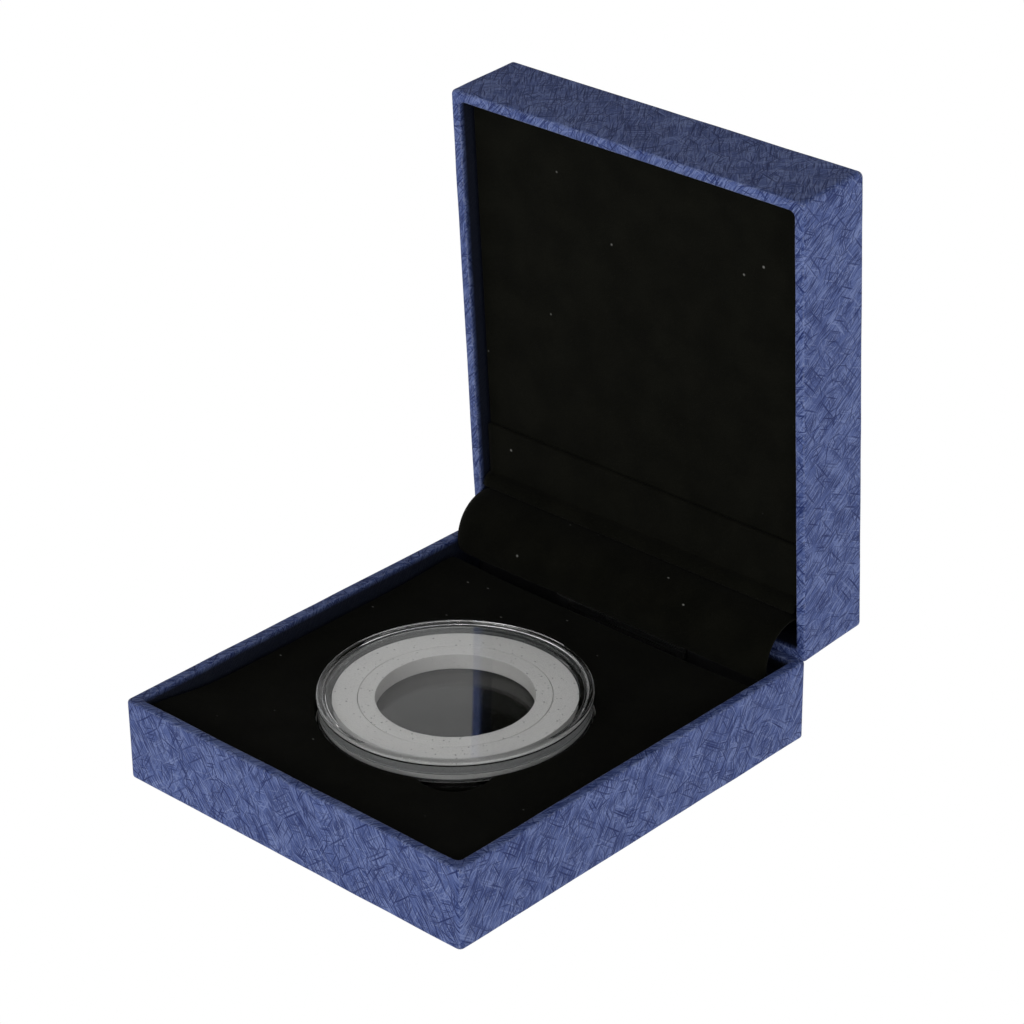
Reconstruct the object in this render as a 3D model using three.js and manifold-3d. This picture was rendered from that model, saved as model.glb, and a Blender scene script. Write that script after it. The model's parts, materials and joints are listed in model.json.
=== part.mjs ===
// Hinged presentation case for one coin, with a clear two-shell coin capsule in its velvet pad.
// Millimetres, +Z up. X runs along the hinge and +Y towards it. The origin is the middle of the
// underside of the base. The lid stands open, as the case is shown on a shelf.
import * as THREE from "three";
import { mergeVertices } from "three/addons/utils/BufferGeometryUtils.js";
import Module from "manifold-3d";

const wasm = await Module();
wasm.setup();

// ---- Driving dimensions ----

// Case outside
const caseWidth = 85;
const caseDepth = 95;
const baseHeight = 17.2;
const lidHeight = 17.2;
const rimGap = 0.4; // between the two rims when the lid is shut
const openAngle = 87; // degrees from shut to the open stop

// Tray walls: a moulded shell between an outer and an inner layer of paper
const paperThick = 0.3;
const shellThick = 1.5;
const glueLine = 0.05; // air left between two pieces that are glued or pressed together
const edgeRadius = 1.2; // rounding of the rims and of the flat outer face
const cornerRadius = 1.4; // rounding of the upright corners
const paperTurnIn = 11; // depth of the paper turned down inside the walls
const paperUnderlap = 12; // width of the paper turned under the base
const footSheetThick = 0.3;
const footSheetInset = 2.5;
const footSheetCorner = 2;

// Hinge
const hingeInset = 0.75; // axis behind the back face
const neckRadius = 8.6; // velvet face of the curved neck, about the hinge axis
const neckPlateThick = 0.4;
const neckOverlap = 17.5; // degrees that the neck reaches under each rim when open
const neckEndRoom = 2.9; // from each end of the neck to the outside of the case
const clothGapToAxis = 1.6;
const clothWing = 9.5; // height of each glued wing of the joint cloth
const clothEndRoom = 3.5; // from each end of the joint cloth to the outside of the case
const keeperLength = 30;
const keeperThick = 0.6;
const keeperGap = 0.45; // running room between a keeper and the neck plate
const keeperLeg = 12; // how far a keeper's leg runs down its wall from the rim
const keeperLip = 42; // degrees that a keeper's lip runs on from its leg
const keeperLap = 3; // degrees that the lip runs back into the leg
const springWidth = 8;
const springThick = 0.4;
const springBow = 2.8;
const springSpan = 52; // degrees to each side of its middle
const springPlace = 24; // distance of each spring from the middle of the hinge

// Velvet-covered pad in the base
const velvetThick = 0.6;
const padFit = 0.4; // room between a pad and the walls
const neckRoom = 0.5; // room between a pad and the neck
const padDepthBelowRim = 3.5;
const padEdgeRadius = 1.2;
const padCornerRadius = 1.2;
const recessFit = 0.3; // room around the capsule in its recess
const recessDiscThick = 0.65;
const notchRadius = 7; // finger notch beside the recess
const notchReach = 4.4; // how far the notch runs out beyond the capsule
const notchAngle = -47; // degrees from +X, towards the front right corner

// Velvet-covered pad in the lid
const lidPadDepthBelowRim = 2.8;
const lidBoardThick = 1.5;
const apronThick = 0.5;
const apronEdge = 22.5; // from the hinge axis to the apron's upper edge
const apronCorner = 0.3;

// Coin capsule, built outwards from the coin and upwards from its base plate
const coinRadius = 14.95;
const innerRingWidth = 3.25; // from the coin to the pre-cut circle in the foam
const outerRingWidth = 4.8; // from the pre-cut circle to the edge of the foam
const foamFit = 0.1; // room around each foam ring
const innerWallThick = 1;
const shellGap = 0.1; // radial room between the two shells
const skirtThick = 0.6;
const skirtHeight = 2.3;
const outerWallThick = 0.8;
const outerWallStep = 0.2; // the base's outer wall stands this far inside the bead
const capsulePlate = 1; // thickness of the base plate
const foamThick = 3.15;
const coverHeadroom = 0.1; // air between the foam and the cover
const coverPlate = 1.1;
const coverBead = 0.55; // rise of the bead above the cover's plate
const beadWidth = 1.3;
const beadRound = 0.25;
const coverFlange = 1.15; // height of the cover's outer wall
const partingGap = 0.1; // between the cover's outer wall and the base's
const footChamfer = 0.3;
const capsuleBelowRim = 0.15; // from the top of the seated capsule to the rim of the base

// Facets
const roundSegments = 56;
const cornerSegments = 4;
const edgeSegments = 3;
const arcSegments = 14;

// ---- Derived places ----

const radians = THREE.MathUtils.degToRad;

// The tray's walls and the hinge axis
const wallThick = 2 * paperThick + shellThick + 2 * glueLine;
const shellOffset = paperThick + glueLine;
const baseTrayHeight = baseHeight - footSheetThick - glueLine;
const trayFloor = shellOffset + shellThick;
const axisY = caseDepth / 2 - hingeInset;
const axisZ = baseHeight + rimGap / 2;
const neckLength = caseWidth - 2 * neckEndRoom;
const neckPlateOuter = neckRadius - velvetThick - glueLine;
const neckPlateInner = neckPlateOuter - neckPlateThick;
const clothLength = caseWidth - 2 * clothEndRoom;

// The capsule: radii from the coin outwards, then heights above its own base
const foamCutRadius = coinRadius + innerRingWidth;
const foamRadius = foamCutRadius + outerRingWidth;
const innerWallInner = foamRadius + foamFit;
const innerWallOuter = innerWallInner + innerWallThick;
const skirtInner = innerWallOuter + shellGap;
const skirtOuter = skirtInner + skirtThick;
const outerWallInner = skirtOuter + shellGap;
const outerWallOuter = outerWallInner + outerWallThick;
const capsuleRadius = outerWallOuter + outerWallStep;
const foamLow = capsulePlate + glueLine;
const foamTop = foamLow + foamThick;
const coverUnder = foamTop + coverHeadroom;
const coverFace = coverUnder + coverPlate;
const capsuleHeight = coverFace + coverBead;
const parting = capsuleHeight - coverFlange;

// The pads, and the well that takes the capsule
const padFront = -caseDepth / 2 + wallThick + padFit;
const padBack = axisY - neckRadius - neckRoom;
const padDepth = padBack - padFront;
const padMiddle = (padFront + padBack) / 2;
const padWidth = caseWidth - 2 * (wallThick + padFit);
const padInset = 2 * (velvetThick + glueLine); // the velvet on both sides of a board
const padTop = baseHeight - padDepthBelowRim;
const recessFloor = baseHeight - capsuleBelowRim - capsuleHeight;
const recessRadius = capsuleRadius + recessFit;
const boardLow = recessFloor - recessDiscThick;
const riserTop = boardLow - glueLine;

// ---- Materials ----

const finish = (color, roughness, metalness = 0) =>
  new THREE.MeshStandardMaterial({ color, roughness, metalness });
const bluePaper = () => finish(0x26408a, 0.55);
const blackVelvet = () => finish(0x0b0b0c, 0.95);
const greyBoard = () => finish(0x8f8b82, 0.9);
const mouldedShell = () => finish(0x1c1c1e, 0.6);
const paleFoam = () => finish(0xd9d9d6, 0.9);
const steel = () => finish(0xa8acb0, 0.35, 1);
const clearPlastic = () => {
  const made = finish(0xf2f5f6, 0.08);
  made.transparent = true;
  made.opacity = 0.35;
  return made;
};

// ---- Shape helpers ----

// A closed geometry as a solid that can be joined and cut.
function solid(geometry) {
  const bare = geometry.clone();
  bare.deleteAttribute("normal");
  bare.deleteAttribute("uv");
  const merged = mergeVertices(bare, 1e-5);
  return new wasm.Manifold(
    new wasm.Mesh({
      numProp: 3,
      vertProperties: new Float32Array(merged.attributes.position.array),
      triVerts: new Uint32Array(merged.index.array),
    }),
  );
}

// A solid back as a geometry.
function geometryOf(made) {
  const mesh = made.getMesh();
  const geometry = new THREE.BufferGeometry();
  geometry.setAttribute("position", new THREE.BufferAttribute(mesh.vertProperties, 3));
  geometry.setIndex(new THREE.BufferAttribute(mesh.triVerts, 1));
  const faceted = geometry.toNonIndexed();
  faceted.computeVertexNormals();
  return faceted;
}

function piece(name, geometry, material) {
  const mesh = new THREE.Mesh(geometry, material);
  mesh.name = name;
  return mesh;
}

function roundedRect(width, depth, radius) {
  const w = width / 2;
  const d = depth / 2;
  const r = Math.max(radius, 0.05);
  const shape = new THREE.Shape();
  shape.moveTo(-w + r, -d);
  shape.lineTo(w - r, -d);
  shape.absarc(w - r, -d + r, r, -Math.PI / 2, 0);
  shape.lineTo(w, d - r);
  shape.absarc(w - r, d - r, r, 0, Math.PI / 2);
  shape.lineTo(-w + r, d);
  shape.absarc(-w + r, d - r, r, Math.PI / 2, Math.PI);
  shape.lineTo(-w, -d + r);
  shape.absarc(-w + r, -d + r, r, Math.PI, 1.5 * Math.PI);
  return shape;
}

// An upright block from low to high, centred on the Z axis, with round upright corners.
function block(width, depth, radius, low, high) {
  const options = { depth: high - low, bevelEnabled: false, curveSegments: cornerSegments };
  const geometry = new THREE.ExtrudeGeometry(roundedRect(width, depth, radius), options);
  return geometry.translate(0, 0, low);
}

function disc(radius, low, high, x = 0, y = 0) {
  const geometry = new THREE.CylinderGeometry(radius, radius, high - low, roundSegments);
  return geometry.rotateX(Math.PI / 2).translate(x, y, (low + high) / 2);
}

// A block whose upper face meets its sides in a round edge.
function softBlock(width, depth, radius, edge, low, high) {
  const options = {
    depth: high - low,
    bevelThickness: edge,
    bevelSize: edge,
    bevelSegments: edgeSegments,
    curveSegments: cornerSegments,
  };
  const outline = roundedRect(width - 2 * edge, depth - 2 * edge, radius - edge);
  const geometry = new THREE.ExtrudeGeometry(outline, options);
  geometry.translate(0, 0, low - edge);
  const under = block(width + 2, depth + 2, radius, low - 3 * edge, low);
  return solid(geometry).subtract(solid(under));
}

// A flat outline in the plane across the hinge, run along the hinge by length.
function alongHinge(shape, length, middle = 0) {
  const options = { depth: length, bevelEnabled: false, curveSegments: arcSegments };
  const geometry = new THREE.ExtrudeGeometry(shape, options);
  geometry.translate(0, 0, middle - length / 2);
  const basis = new THREE.Matrix4().makeBasis(
    new THREE.Vector3(0, 1, 0),
    new THREE.Vector3(0, 0, 1),
    new THREE.Vector3(1, 0, 0),
  );
  return geometry.applyMatrix4(basis);
}

// A band between two radii about the hinge axis. Angles are in degrees from +Y towards +Z.
function arcBand(inner, outer, from, to) {
  const shape = new THREE.Shape();
  shape.absarc(0, 0, outer, radians(from), radians(to), false);
  shape.absarc(0, 0, inner, radians(to), radians(from), true);
  return shape;
}

// A shape turned from an outline of radius and height, which ends on the axis or closes on itself.
function turned(outline) {
  const closed = outline[0][0] > 0 ? [...outline, outline[0]] : outline;
  const points = closed.map(([r, z]) => new THREE.Vector2(r, z));
  const lathe = new THREE.LatheGeometry(points, roundSegments).rotateX(Math.PI / 2);
  return geometryOf(solid(lathe));
}

// ---- Trays: the shells and their paper. Each stands open side up, outer face at z = 0 ----

function trayShell(height) {
  const inset = 2 * shellOffset;
  const width = caseWidth - inset;
  const depth = caseDepth - inset;
  const radius = cornerRadius - shellOffset;
  const edge = edgeRadius - shellOffset;
  const body = softBlock(width, depth, radius, edge, shellOffset, height - shellOffset);
  const hollow = block(
    width - 2 * shellThick,
    depth - 2 * shellThick,
    radius - shellThick,
    trayFloor,
    height + 1,
  );
  return geometryOf(body.subtract(solid(hollow)));
}

// Paper over the outside, over the rim and down inside. underWindow leaves the underlap open.
function trayPaper(height, underWindow) {
  const outside = softBlock(caseWidth, caseDepth, cornerRadius, edgeRadius, 0, height);
  const inset = 2 * paperThick;
  const room = softBlock(
    caseWidth - inset,
    caseDepth - inset,
    cornerRadius - paperThick,
    edgeRadius - paperThick,
    paperThick,
    height - paperThick,
  );
  const lining = block(
    caseWidth - 2 * (wallThick - paperThick),
    caseDepth - 2 * (wallThick - paperThick),
    cornerRadius,
    height - paperTurnIn,
    height + 1,
  );
  const mouth = block(
    caseWidth - 2 * wallThick,
    caseDepth - 2 * wallThick,
    cornerRadius,
    height - paperTurnIn - 1,
    height + 2,
  );
  let paper = outside.subtract(room.subtract(solid(lining))).subtract(solid(mouth));
  if (underWindow) {
    const window = block(
      caseWidth - 2 * paperUnderlap,
      caseDepth - 2 * paperUnderlap,
      cornerRadius,
      -1,
      2 * paperThick,
    );
    paper = paper.subtract(solid(window));
  }
  return geometryOf(paper);
}

function baseTray() {
  const tray = new THREE.Group();
  tray.position.z = footSheetThick + glueLine;
  tray.add(
    piece("base_shell", trayShell(baseTrayHeight), mouldedShell()),
    piece("base_wrap", trayPaper(baseTrayHeight, true), bluePaper()),
  );
  return tray;
}

function footSheet() {
  const width = caseWidth - 2 * footSheetInset;
  const depth = caseDepth - 2 * footSheetInset;
  const sheet = block(width, depth, footSheetCorner, 0, footSheetThick);
  return piece("base_foot_sheet", sheet, blackVelvet());
}

function lidTray() {
  const tray = new THREE.Group();
  tray.rotation.y = Math.PI;
  tray.position.z = baseHeight + rimGap + lidHeight;
  tray.add(
    piece("lid_shell", trayShell(lidHeight), mouldedShell()),
    piece("lid_wrap", trayPaper(lidHeight, false), bluePaper()),
  );
  return tray;
}

// ---- The pad in the base, centred on the Z axis ----

// The round well with its finger notch, grown by extra all round.
function wellCut(extra, low, high) {
  const reach = capsuleRadius + notchReach - notchRadius;
  const x = reach * Math.cos(radians(notchAngle));
  const y = reach * Math.sin(radians(notchAngle));
  const well = solid(disc(recessRadius + extra, low, high));
  return well.add(solid(disc(notchRadius + extra, low, high, x, y)));
}

// Velvet drawn over the board, down its sides and down the well.
function padVelvet() {
  const low = boardLow + glueLine;
  const cover = softBlock(padWidth, padDepth, padCornerRadius, padEdgeRadius, low, padTop);
  const boardRoom = softBlock(
    padWidth - 2 * velvetThick,
    padDepth - 2 * velvetThick,
    padCornerRadius - velvetThick,
    padEdgeRadius - velvetThick,
    low - 1,
    padTop - velvetThick,
  );
  const lining = wellCut(velvetThick, low - 2, padTop);
  const well = wellCut(0, low - 3, padTop + 1);
  return geometryOf(cover.subtract(boardRoom.subtract(lining)).subtract(well));
}

function padBoard() {
  const high = padTop - velvetThick - glueLine;
  const width = padWidth - padInset;
  const depth = padDepth - padInset;
  const radius = padCornerRadius - velvetThick;
  const edge = padEdgeRadius - velvetThick;
  const board = softBlock(width, depth, radius, edge, boardLow, high);
  return geometryOf(board.subtract(wellCut(velvetThick + glueLine, boardLow - 1, high + 1)));
}

// The riser fills the tray below the board and carries the recess disc.
function padRiser() {
  const low = footSheetThick + 2 * glueLine + trayFloor;
  return block(padWidth - padInset, padDepth - padInset, padCornerRadius, low, riserTop);
}

function basePad() {
  const pad = new THREE.Group();
  pad.position.y = padMiddle;
  const well = disc(capsuleRadius, boardLow, recessFloor);
  pad.add(
    piece("pad_velvet", padVelvet(), blackVelvet()),
    piece("pad_board", padBoard(), greyBoard()),
    piece("recess_disc", well, blackVelvet()),
    piece("pad_riser", padRiser(), paleFoam()),
  );
  return pad;
}

// ---- The pad in the lid. Its pieces stand velvet face up, with the rim at z = 0 ----

function lidVelvet(low) {
  const face = -lidPadDepthBelowRim;
  const cover = softBlock(padWidth, padDepth, padCornerRadius, padEdgeRadius, low, face);
  const room = block(
    padWidth - 2 * velvetThick,
    padDepth - 2 * velvetThick,
    padCornerRadius - velvetThick,
    low - 1,
    face - velvetThick,
  );
  return geometryOf(cover.subtract(solid(room)));
}

// A strip of velvet over the pad's hinge end, which hides the end of the neck.
function lidApron() {
  const back = padBack - padEdgeRadius;
  const front = axisY - apronEdge;
  const low = glueLine - lidPadDepthBelowRim;
  const strip = block(neckLength, back - front, apronCorner, low, low + apronThick);
  return strip.translate(0, (back + front) / 2 - padMiddle, 0);
}

function lidPad() {
  const pad = new THREE.Group();
  pad.rotation.y = Math.PI;
  pad.position.set(0, padMiddle, baseHeight + rimGap);
  const width = padWidth - padInset;
  const depth = padDepth - padInset;
  const boardHigh = -lidPadDepthBelowRim - velvetThick - glueLine;
  const boardLow = boardHigh - lidBoardThick;
  const spongeLow = trayFloor + glueLine - lidHeight;
  const corner = padCornerRadius - velvetThick;
  const board = block(width, depth, corner, boardLow, boardHigh);
  const sponge = block(width, depth, corner, spongeLow, boardLow - glueLine);
  pad.add(
    piece("lid_velvet", lidVelvet(boardLow), blackVelvet()),
    piece("lid_board", board, greyBoard()),
    piece("lid_sponge", sponge, paleFoam()),
    piece("lid_apron", lidApron(), blackVelvet()),
  );
  return pad;
}

// ---- Hinge pieces, about the hinge axis ----

// The neck as it stands with the case shut, its middle facing straight forwards.
function neck() {
  const group = new THREE.Group();
  const half = openAngle / 2 + neckOverlap;
  const skin = arcBand(neckRadius - velvetThick, neckRadius, 180 - half, 180 + half);
  const plate = arcBand(neckPlateInner, neckPlateOuter, 180 - half, 180 + half);
  group.add(
    piece("neck_velvet", alongHinge(skin, neckLength), blackVelvet()),
    piece("neck_plate", alongHinge(plate, neckLength - 1), steel()),
  );
  for (const [side, x] of [["left", -springPlace], ["right", springPlace]]) {
    group.add(piece("snap_spring_" + side, alongHinge(bowedLeaf(), springWidth, x), steel()));
  }
  return group;
}

// A leaf spring whose ends bear on the plate and whose middle bows in towards the axis.
function bowedLeaf() {
  const shape = new THREE.Shape();
  const bow = (share) => neckPlateInner - glueLine - springBow * Math.cos((share * Math.PI) / 2) ** 2;
  const put = (share, depth) => {
    const angle = radians(180 + share * springSpan);
    const radius = bow(share) - depth;
    return new THREE.Vector2(radius * Math.cos(angle), radius * Math.sin(angle));
  };
  const shares = Array.from({ length: arcSegments + 1 }, (_, i) => (2 * i) / arcSegments - 1);
  const outer = shares.map((share) => put(share, 0));
  const inner = shares.map((share) => put(share, springThick)).reverse();
  shape.setFromPoints([...outer, ...inner]);
  return shape;
}

// A bent strip on the back wall whose curved lip guides the neck from inside. side is -1 in the
// base and 1 in the shut lid.
function keeper(name, side) {
  const wallFace = caseDepth / 2 - wallThick - axisY - glueLine;
  const legFace = wallFace - keeperThick;
  const lipOuter = neckPlateInner - keeperGap;
  const lipMiddle = lipOuter - keeperThick / 2;
  const meets = (Math.acos(legFace / lipMiddle) * 180) / Math.PI;
  const lipStart = 360 - meets - keeperLip;
  const lipEnd = 360 - meets + keeperLap;
  const lip = arcBand(lipOuter - keeperThick, lipOuter, lipStart, lipEnd);
  const leg = new THREE.Shape();
  const legTop = -Math.sqrt(lipMiddle ** 2 - legFace ** 2) + keeperThick;
  leg.moveTo(legFace, -keeperLeg);
  leg.lineTo(wallFace, -keeperLeg);
  leg.lineTo(wallFace, legTop);
  leg.lineTo(legFace, legTop);
  const made = solid(alongHinge(lip, keeperLength)).add(solid(alongHinge(leg, keeperLength)));
  const geometry = geometryOf(made);
  if (side > 0) geometry.rotateY(Math.PI);
  return piece(name, geometry, steel());
}

// One glued wing of the cloth that joins the two back faces.
function clothWingPiece(name, side) {
  const low = side > 0 ? clothGapToAxis : -clothGapToAxis - clothWing;
  const geometry = new THREE.BoxGeometry(clothLength, paperThick, clothWing);
  geometry.translate(0, hingeInset + glueLine + paperThick / 2, low + clothWing / 2);
  return piece(name, geometry, bluePaper());
}

// ---- The coin capsule, standing at z = 0 on the Z axis ----

function capsuleBase() {
  const outerTop = parting - partingGap;
  const innerTop = coverUnder - shellGap;
  return piece(
    "capsule_base",
    turned([
      [0, 0],
      [outerWallOuter - footChamfer, 0],
      [outerWallOuter, footChamfer],
      [outerWallOuter, outerTop],
      [outerWallInner, outerTop],
      [outerWallInner, capsulePlate],
      [innerWallOuter, capsulePlate],
      [innerWallOuter, innerTop],
      [innerWallInner, innerTop],
      [innerWallInner, capsulePlate],
      [0, capsulePlate],
    ]),
    clearPlastic(),
  );
}

function capsuleCover() {
  const beadInner = capsuleRadius - beadWidth;
  const skirtLow = coverUnder - skirtHeight;
  return piece(
    "capsule_cover",
    turned([
      [0, coverUnder],
      [skirtInner, coverUnder],
      [skirtInner, skirtLow],
      [skirtOuter, skirtLow],
      [skirtOuter, parting],
      [capsuleRadius, parting],
      [capsuleRadius, capsuleHeight - beadRound],
      [capsuleRadius - beadRound, capsuleHeight],
      [beadInner + beadRound, capsuleHeight],
      [beadInner, coverFace],
      [0, coverFace],
    ]),
    clearPlastic(),
  );
}

function foamRing(name, inner, outer) {
  const outline = [
    [inner, foamLow],
    [outer, foamLow],
    [outer, foamTop],
    [inner, foamTop],
  ];
  return piece(name, turned(outline), paleFoam());
}

function capsule() {
  const group = new THREE.Group();
  group.position.set(0, padMiddle, recessFloor);
  group.add(
    capsuleBase(),
    foamRing("foam_ring_outer", foamCutRadius + foamFit / 2, foamRadius),
    foamRing("foam_ring_inner", coinRadius, foamCutRadius - foamFit / 2),
    capsuleCover(),
  );
  return group;
}

// ---- The whole case ----

function hinge() {
  const fixed = new THREE.Group();
  fixed.position.set(0, axisY, axisZ);
  const turningNeck = neck();
  turningNeck.rotation.x = radians(-openAngle / 2);
  fixed.add(keeper("neck_keeper_base", -1), clothWingPiece("joint_cloth_base", -1), turningNeck);
  return fixed;
}

function lid() {
  const turning = new THREE.Group();
  turning.position.set(0, axisY, axisZ);
  turning.rotation.x = radians(-openAngle);
  const shut = new THREE.Group();
  shut.position.set(0, -axisY, -axisZ);
  shut.add(lidTray(), lidPad());
  turning.add(shut, keeper("neck_keeper_lid", 1), clothWingPiece("joint_cloth_lid", 1));
  return turning;
}

const coinCase = new THREE.Group();
coinCase.add(baseTray(), footSheet(), basePad(), capsule(), hinge(), lid());

export default coinCase;
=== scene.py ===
"""Looks of a hinged presentation case for one coin, with a clear capsule in its velvet pad.

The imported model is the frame: every place comes from its nodes and joints. Each sub-assembly
is a class that builds its meshes and dresses them, and each finish is a small class of its own.
Lengths are in metres, and MM turns a size in millimetres into metres.
"""

import json
import logging
import math
from dataclasses import dataclass
from enum import Enum
from itertools import accumulate
from typing import Callable, Iterable, Sequence

import bmesh
import bpy
from bmesh.types import BMEdge, BMesh, BMFace, BMVert
from bpy.types import Material, Node, NodeSocket, Object
from mathutils import Matrix, Vector, noise


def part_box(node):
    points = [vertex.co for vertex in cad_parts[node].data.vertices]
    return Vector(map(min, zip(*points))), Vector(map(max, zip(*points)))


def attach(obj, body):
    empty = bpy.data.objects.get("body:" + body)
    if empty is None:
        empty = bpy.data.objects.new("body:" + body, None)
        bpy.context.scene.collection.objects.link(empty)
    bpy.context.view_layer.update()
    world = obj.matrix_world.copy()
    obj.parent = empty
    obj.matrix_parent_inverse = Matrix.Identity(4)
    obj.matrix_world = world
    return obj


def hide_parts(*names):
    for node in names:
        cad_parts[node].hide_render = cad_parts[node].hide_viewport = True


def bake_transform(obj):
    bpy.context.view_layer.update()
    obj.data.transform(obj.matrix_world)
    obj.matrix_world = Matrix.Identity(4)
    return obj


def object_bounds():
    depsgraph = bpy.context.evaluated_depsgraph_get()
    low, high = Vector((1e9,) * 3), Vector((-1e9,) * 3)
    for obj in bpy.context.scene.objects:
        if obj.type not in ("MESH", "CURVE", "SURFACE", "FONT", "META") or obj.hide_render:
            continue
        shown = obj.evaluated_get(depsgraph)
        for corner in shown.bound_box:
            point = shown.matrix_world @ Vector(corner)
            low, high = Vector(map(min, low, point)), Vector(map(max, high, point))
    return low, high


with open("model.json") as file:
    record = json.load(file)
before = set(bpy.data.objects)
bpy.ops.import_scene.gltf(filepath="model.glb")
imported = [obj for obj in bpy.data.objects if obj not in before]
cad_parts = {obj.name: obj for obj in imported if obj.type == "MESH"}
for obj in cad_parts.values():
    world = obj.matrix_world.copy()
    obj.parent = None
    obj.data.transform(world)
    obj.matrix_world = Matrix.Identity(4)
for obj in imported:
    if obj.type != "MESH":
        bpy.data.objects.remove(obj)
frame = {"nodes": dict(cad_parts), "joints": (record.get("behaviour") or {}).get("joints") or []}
CAD_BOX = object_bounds()

MM = 0.001
TINY = 1e-6
FULL_TURN = 2 * math.pi
NOISE_SEED = 7
log = logging.getLogger("coin_case")


class Axis(Enum):
    """The three directions of the row frame."""

    X = 0
    Y = 1
    Z = 2


class Hold(Enum):
    """How a sheet of cloth is held."""

    LAID = "laid"
    FOLDED = "folded"
    STRETCHED = "stretched"


# ---- Places read from the frame ----


def lid_joint() -> dict:
    """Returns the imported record's hinge between the base and the lid."""
    return next(j for j in frame["joints"] if j["name"] == "lid_hinge")


def hinge_point() -> Vector:
    """Returns a point on the hinge axis."""
    return Vector(lid_joint()["pos_m"])


def lid_turn() -> Matrix:
    """Returns the turn that takes the shut lid to where it stands at rest."""
    shut = math.radians(min(lid_joint()["range_deg"]))
    middle = Matrix.Translation(hinge_point())
    turn = Matrix.Rotation(-shut, 4, Vector(lid_joint()["axis"]))
    return middle @ turn @ middle.inverted()


def box_in(place: Matrix, *nodes: str) -> tuple[Vector, Vector]:
    """Measures CAD nodes in a turned frame.

    Args:
        place: The matrix from the turned frame to the row frame.
        nodes: The names of the nodes.

    Returns:
        The lowest and the highest corner, in the turned frame.
    """
    back = place.inverted()
    points = [back @ v.co for n in nodes for v in frame["nodes"][n].data.vertices]
    low = Vector(min(p[i] for p in points) for i in range(3))
    high = Vector(max(p[i] for p in points) for i in range(3))
    return low, high


def lid_place() -> Matrix:
    """Returns the matrix from the lid's own frame, open side up, to the row frame."""
    shut_top = box_in(lid_turn(), "lid_wrap")[1].z
    upside_down = Matrix.Translation((0, 0, shut_top)) @ Matrix.Rotation(math.pi, 4, "Y")
    return lid_turn() @ upside_down


def neck_radius() -> float:
    """Returns the radius of the neck's velvet about the hinge axis."""
    centre = hinge_point()
    points = frame["nodes"]["neck_velvet"].data.vertices
    return max(math.hypot(v.co.y - centre.y, v.co.z - centre.z) for v in points)


def attached(obj: Object, body: str, slot: str, *nodes: str) -> None:
    """Puts a piece on its body, in place of the nodes that it stands for.

    Args:
        obj: The piece.
        body: The body that it rides on.
        slot: Its material slot; not used.
        nodes: The CAD nodes that it stands for.
    """
    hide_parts(*nodes)
    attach(obj, body)


def dress_nodes(material: Material, *nodes: str) -> None:
    """Gives CAD nodes that stay in view their finish."""
    for name in nodes:
        frame["nodes"][name].data.materials[0] = material


# ---- Mesh helpers ----


def even(start: float, end: float, count: int) -> list[float]:
    """Returns evenly spaced values from start to end."""
    return [start + (end - start) * i / count for i in range(count + 1)]


def finished(
    name: str,
    bm: BMesh,
    material: Material,
    place: Matrix | None = None,
    sharp: float = 40.0,
) -> Object:
    """Turns a bmesh into a smooth-shaded object whose place is in its mesh.

    Args:
        name: The piece's name.
        bm: The mesh, which is freed.
        material: The piece's finish.
        place: The matrix from the mesh's own frame to the row frame.
        sharp: Edges that turn by more than this many degrees stay crisp.

    Returns:
        The new object, at the origin.
    """
    if place is not None:
        bmesh.ops.transform(bm, matrix=place, verts=bm.verts)
    mesh = bpy.data.meshes.new(name)
    bm.to_mesh(mesh)
    bm.free()
    mesh.polygons.foreach_set("use_smooth", [True] * len(mesh.polygons))
    mesh.set_sharp_from_angle(angle=math.radians(sharp))
    mesh.materials.append(material)
    obj = bpy.data.objects.new(name, mesh)
    bpy.context.scene.collection.objects.link(obj)
    return obj


def rounded(obj: Object, levels: int = 1) -> Object:
    """Gives a piece a subdivision surface.

    Args:
        obj: The piece.
        levels: How many times each face is divided.

    Returns:
        The same piece.
    """
    finish = obj.modifiers.new("Rounding", "SUBSURF")
    finish.levels = finish.render_levels = levels
    return obj


def walled(obj: Object, thick: float) -> Object:
    """Gives a sheet its thickness, on the side away from its normals.

    Args:
        obj: The piece.
        thick: The thickness of the sheet.

    Returns:
        The same piece.
    """
    wall = obj.modifiers.new("Thickness", "SOLIDIFY")
    wall.thickness = thick
    wall.offset = -1
    wall.use_even_offset = False
    return obj


def outward(bm: BMesh) -> None:
    """Merges doubles and turns every face outwards."""
    bmesh.ops.remove_doubles(bm, verts=bm.verts, dist=TINY)
    bmesh.ops.recalc_face_normals(bm, faces=bm.faces)


def slab(low: Vector, high: Vector) -> BMesh:
    """Makes a block between two corners.

    Args:
        low: The lowest corner.
        high: The highest corner.

    Returns:
        The block.
    """
    bm = bmesh.new()
    bmesh.ops.create_cube(bm, size=1.0)
    bmesh.ops.scale(bm, vec=high - low, verts=bm.verts)
    bmesh.ops.translate(bm, vec=(low + high) / 2, verts=bm.verts)
    return bm


def upright_edges(bm: BMesh) -> list[BMEdge]:
    """Returns the edges that stand straight up."""
    return [e for e in bm.edges if (e.verts[0].co - e.verts[1].co).xy.length < TINY]


def level_edges(bm: BMesh) -> list[BMEdge]:
    """Returns the edges that lie level."""
    return [e for e in bm.edges if abs(e.verts[0].co.z - e.verts[1].co.z) < TINY]


def bevelled(
    bm: BMesh, edges: Iterable[BMEdge], width: float, segments: int
) -> None:
    """Rounds edges.

    Args:
        bm: The mesh.
        edges: The edges to round.
        width: The radius of the rounding.
        segments: The number of faces across it.
    """
    bmesh.ops.bevel(
        bm,
        geom=list(edges),
        offset=width,
        offset_type="OFFSET",
        segments=segments,
        profile=0.5,
        affect="EDGES",
        clamp_overlap=True,
        material=-1,
    )


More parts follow.
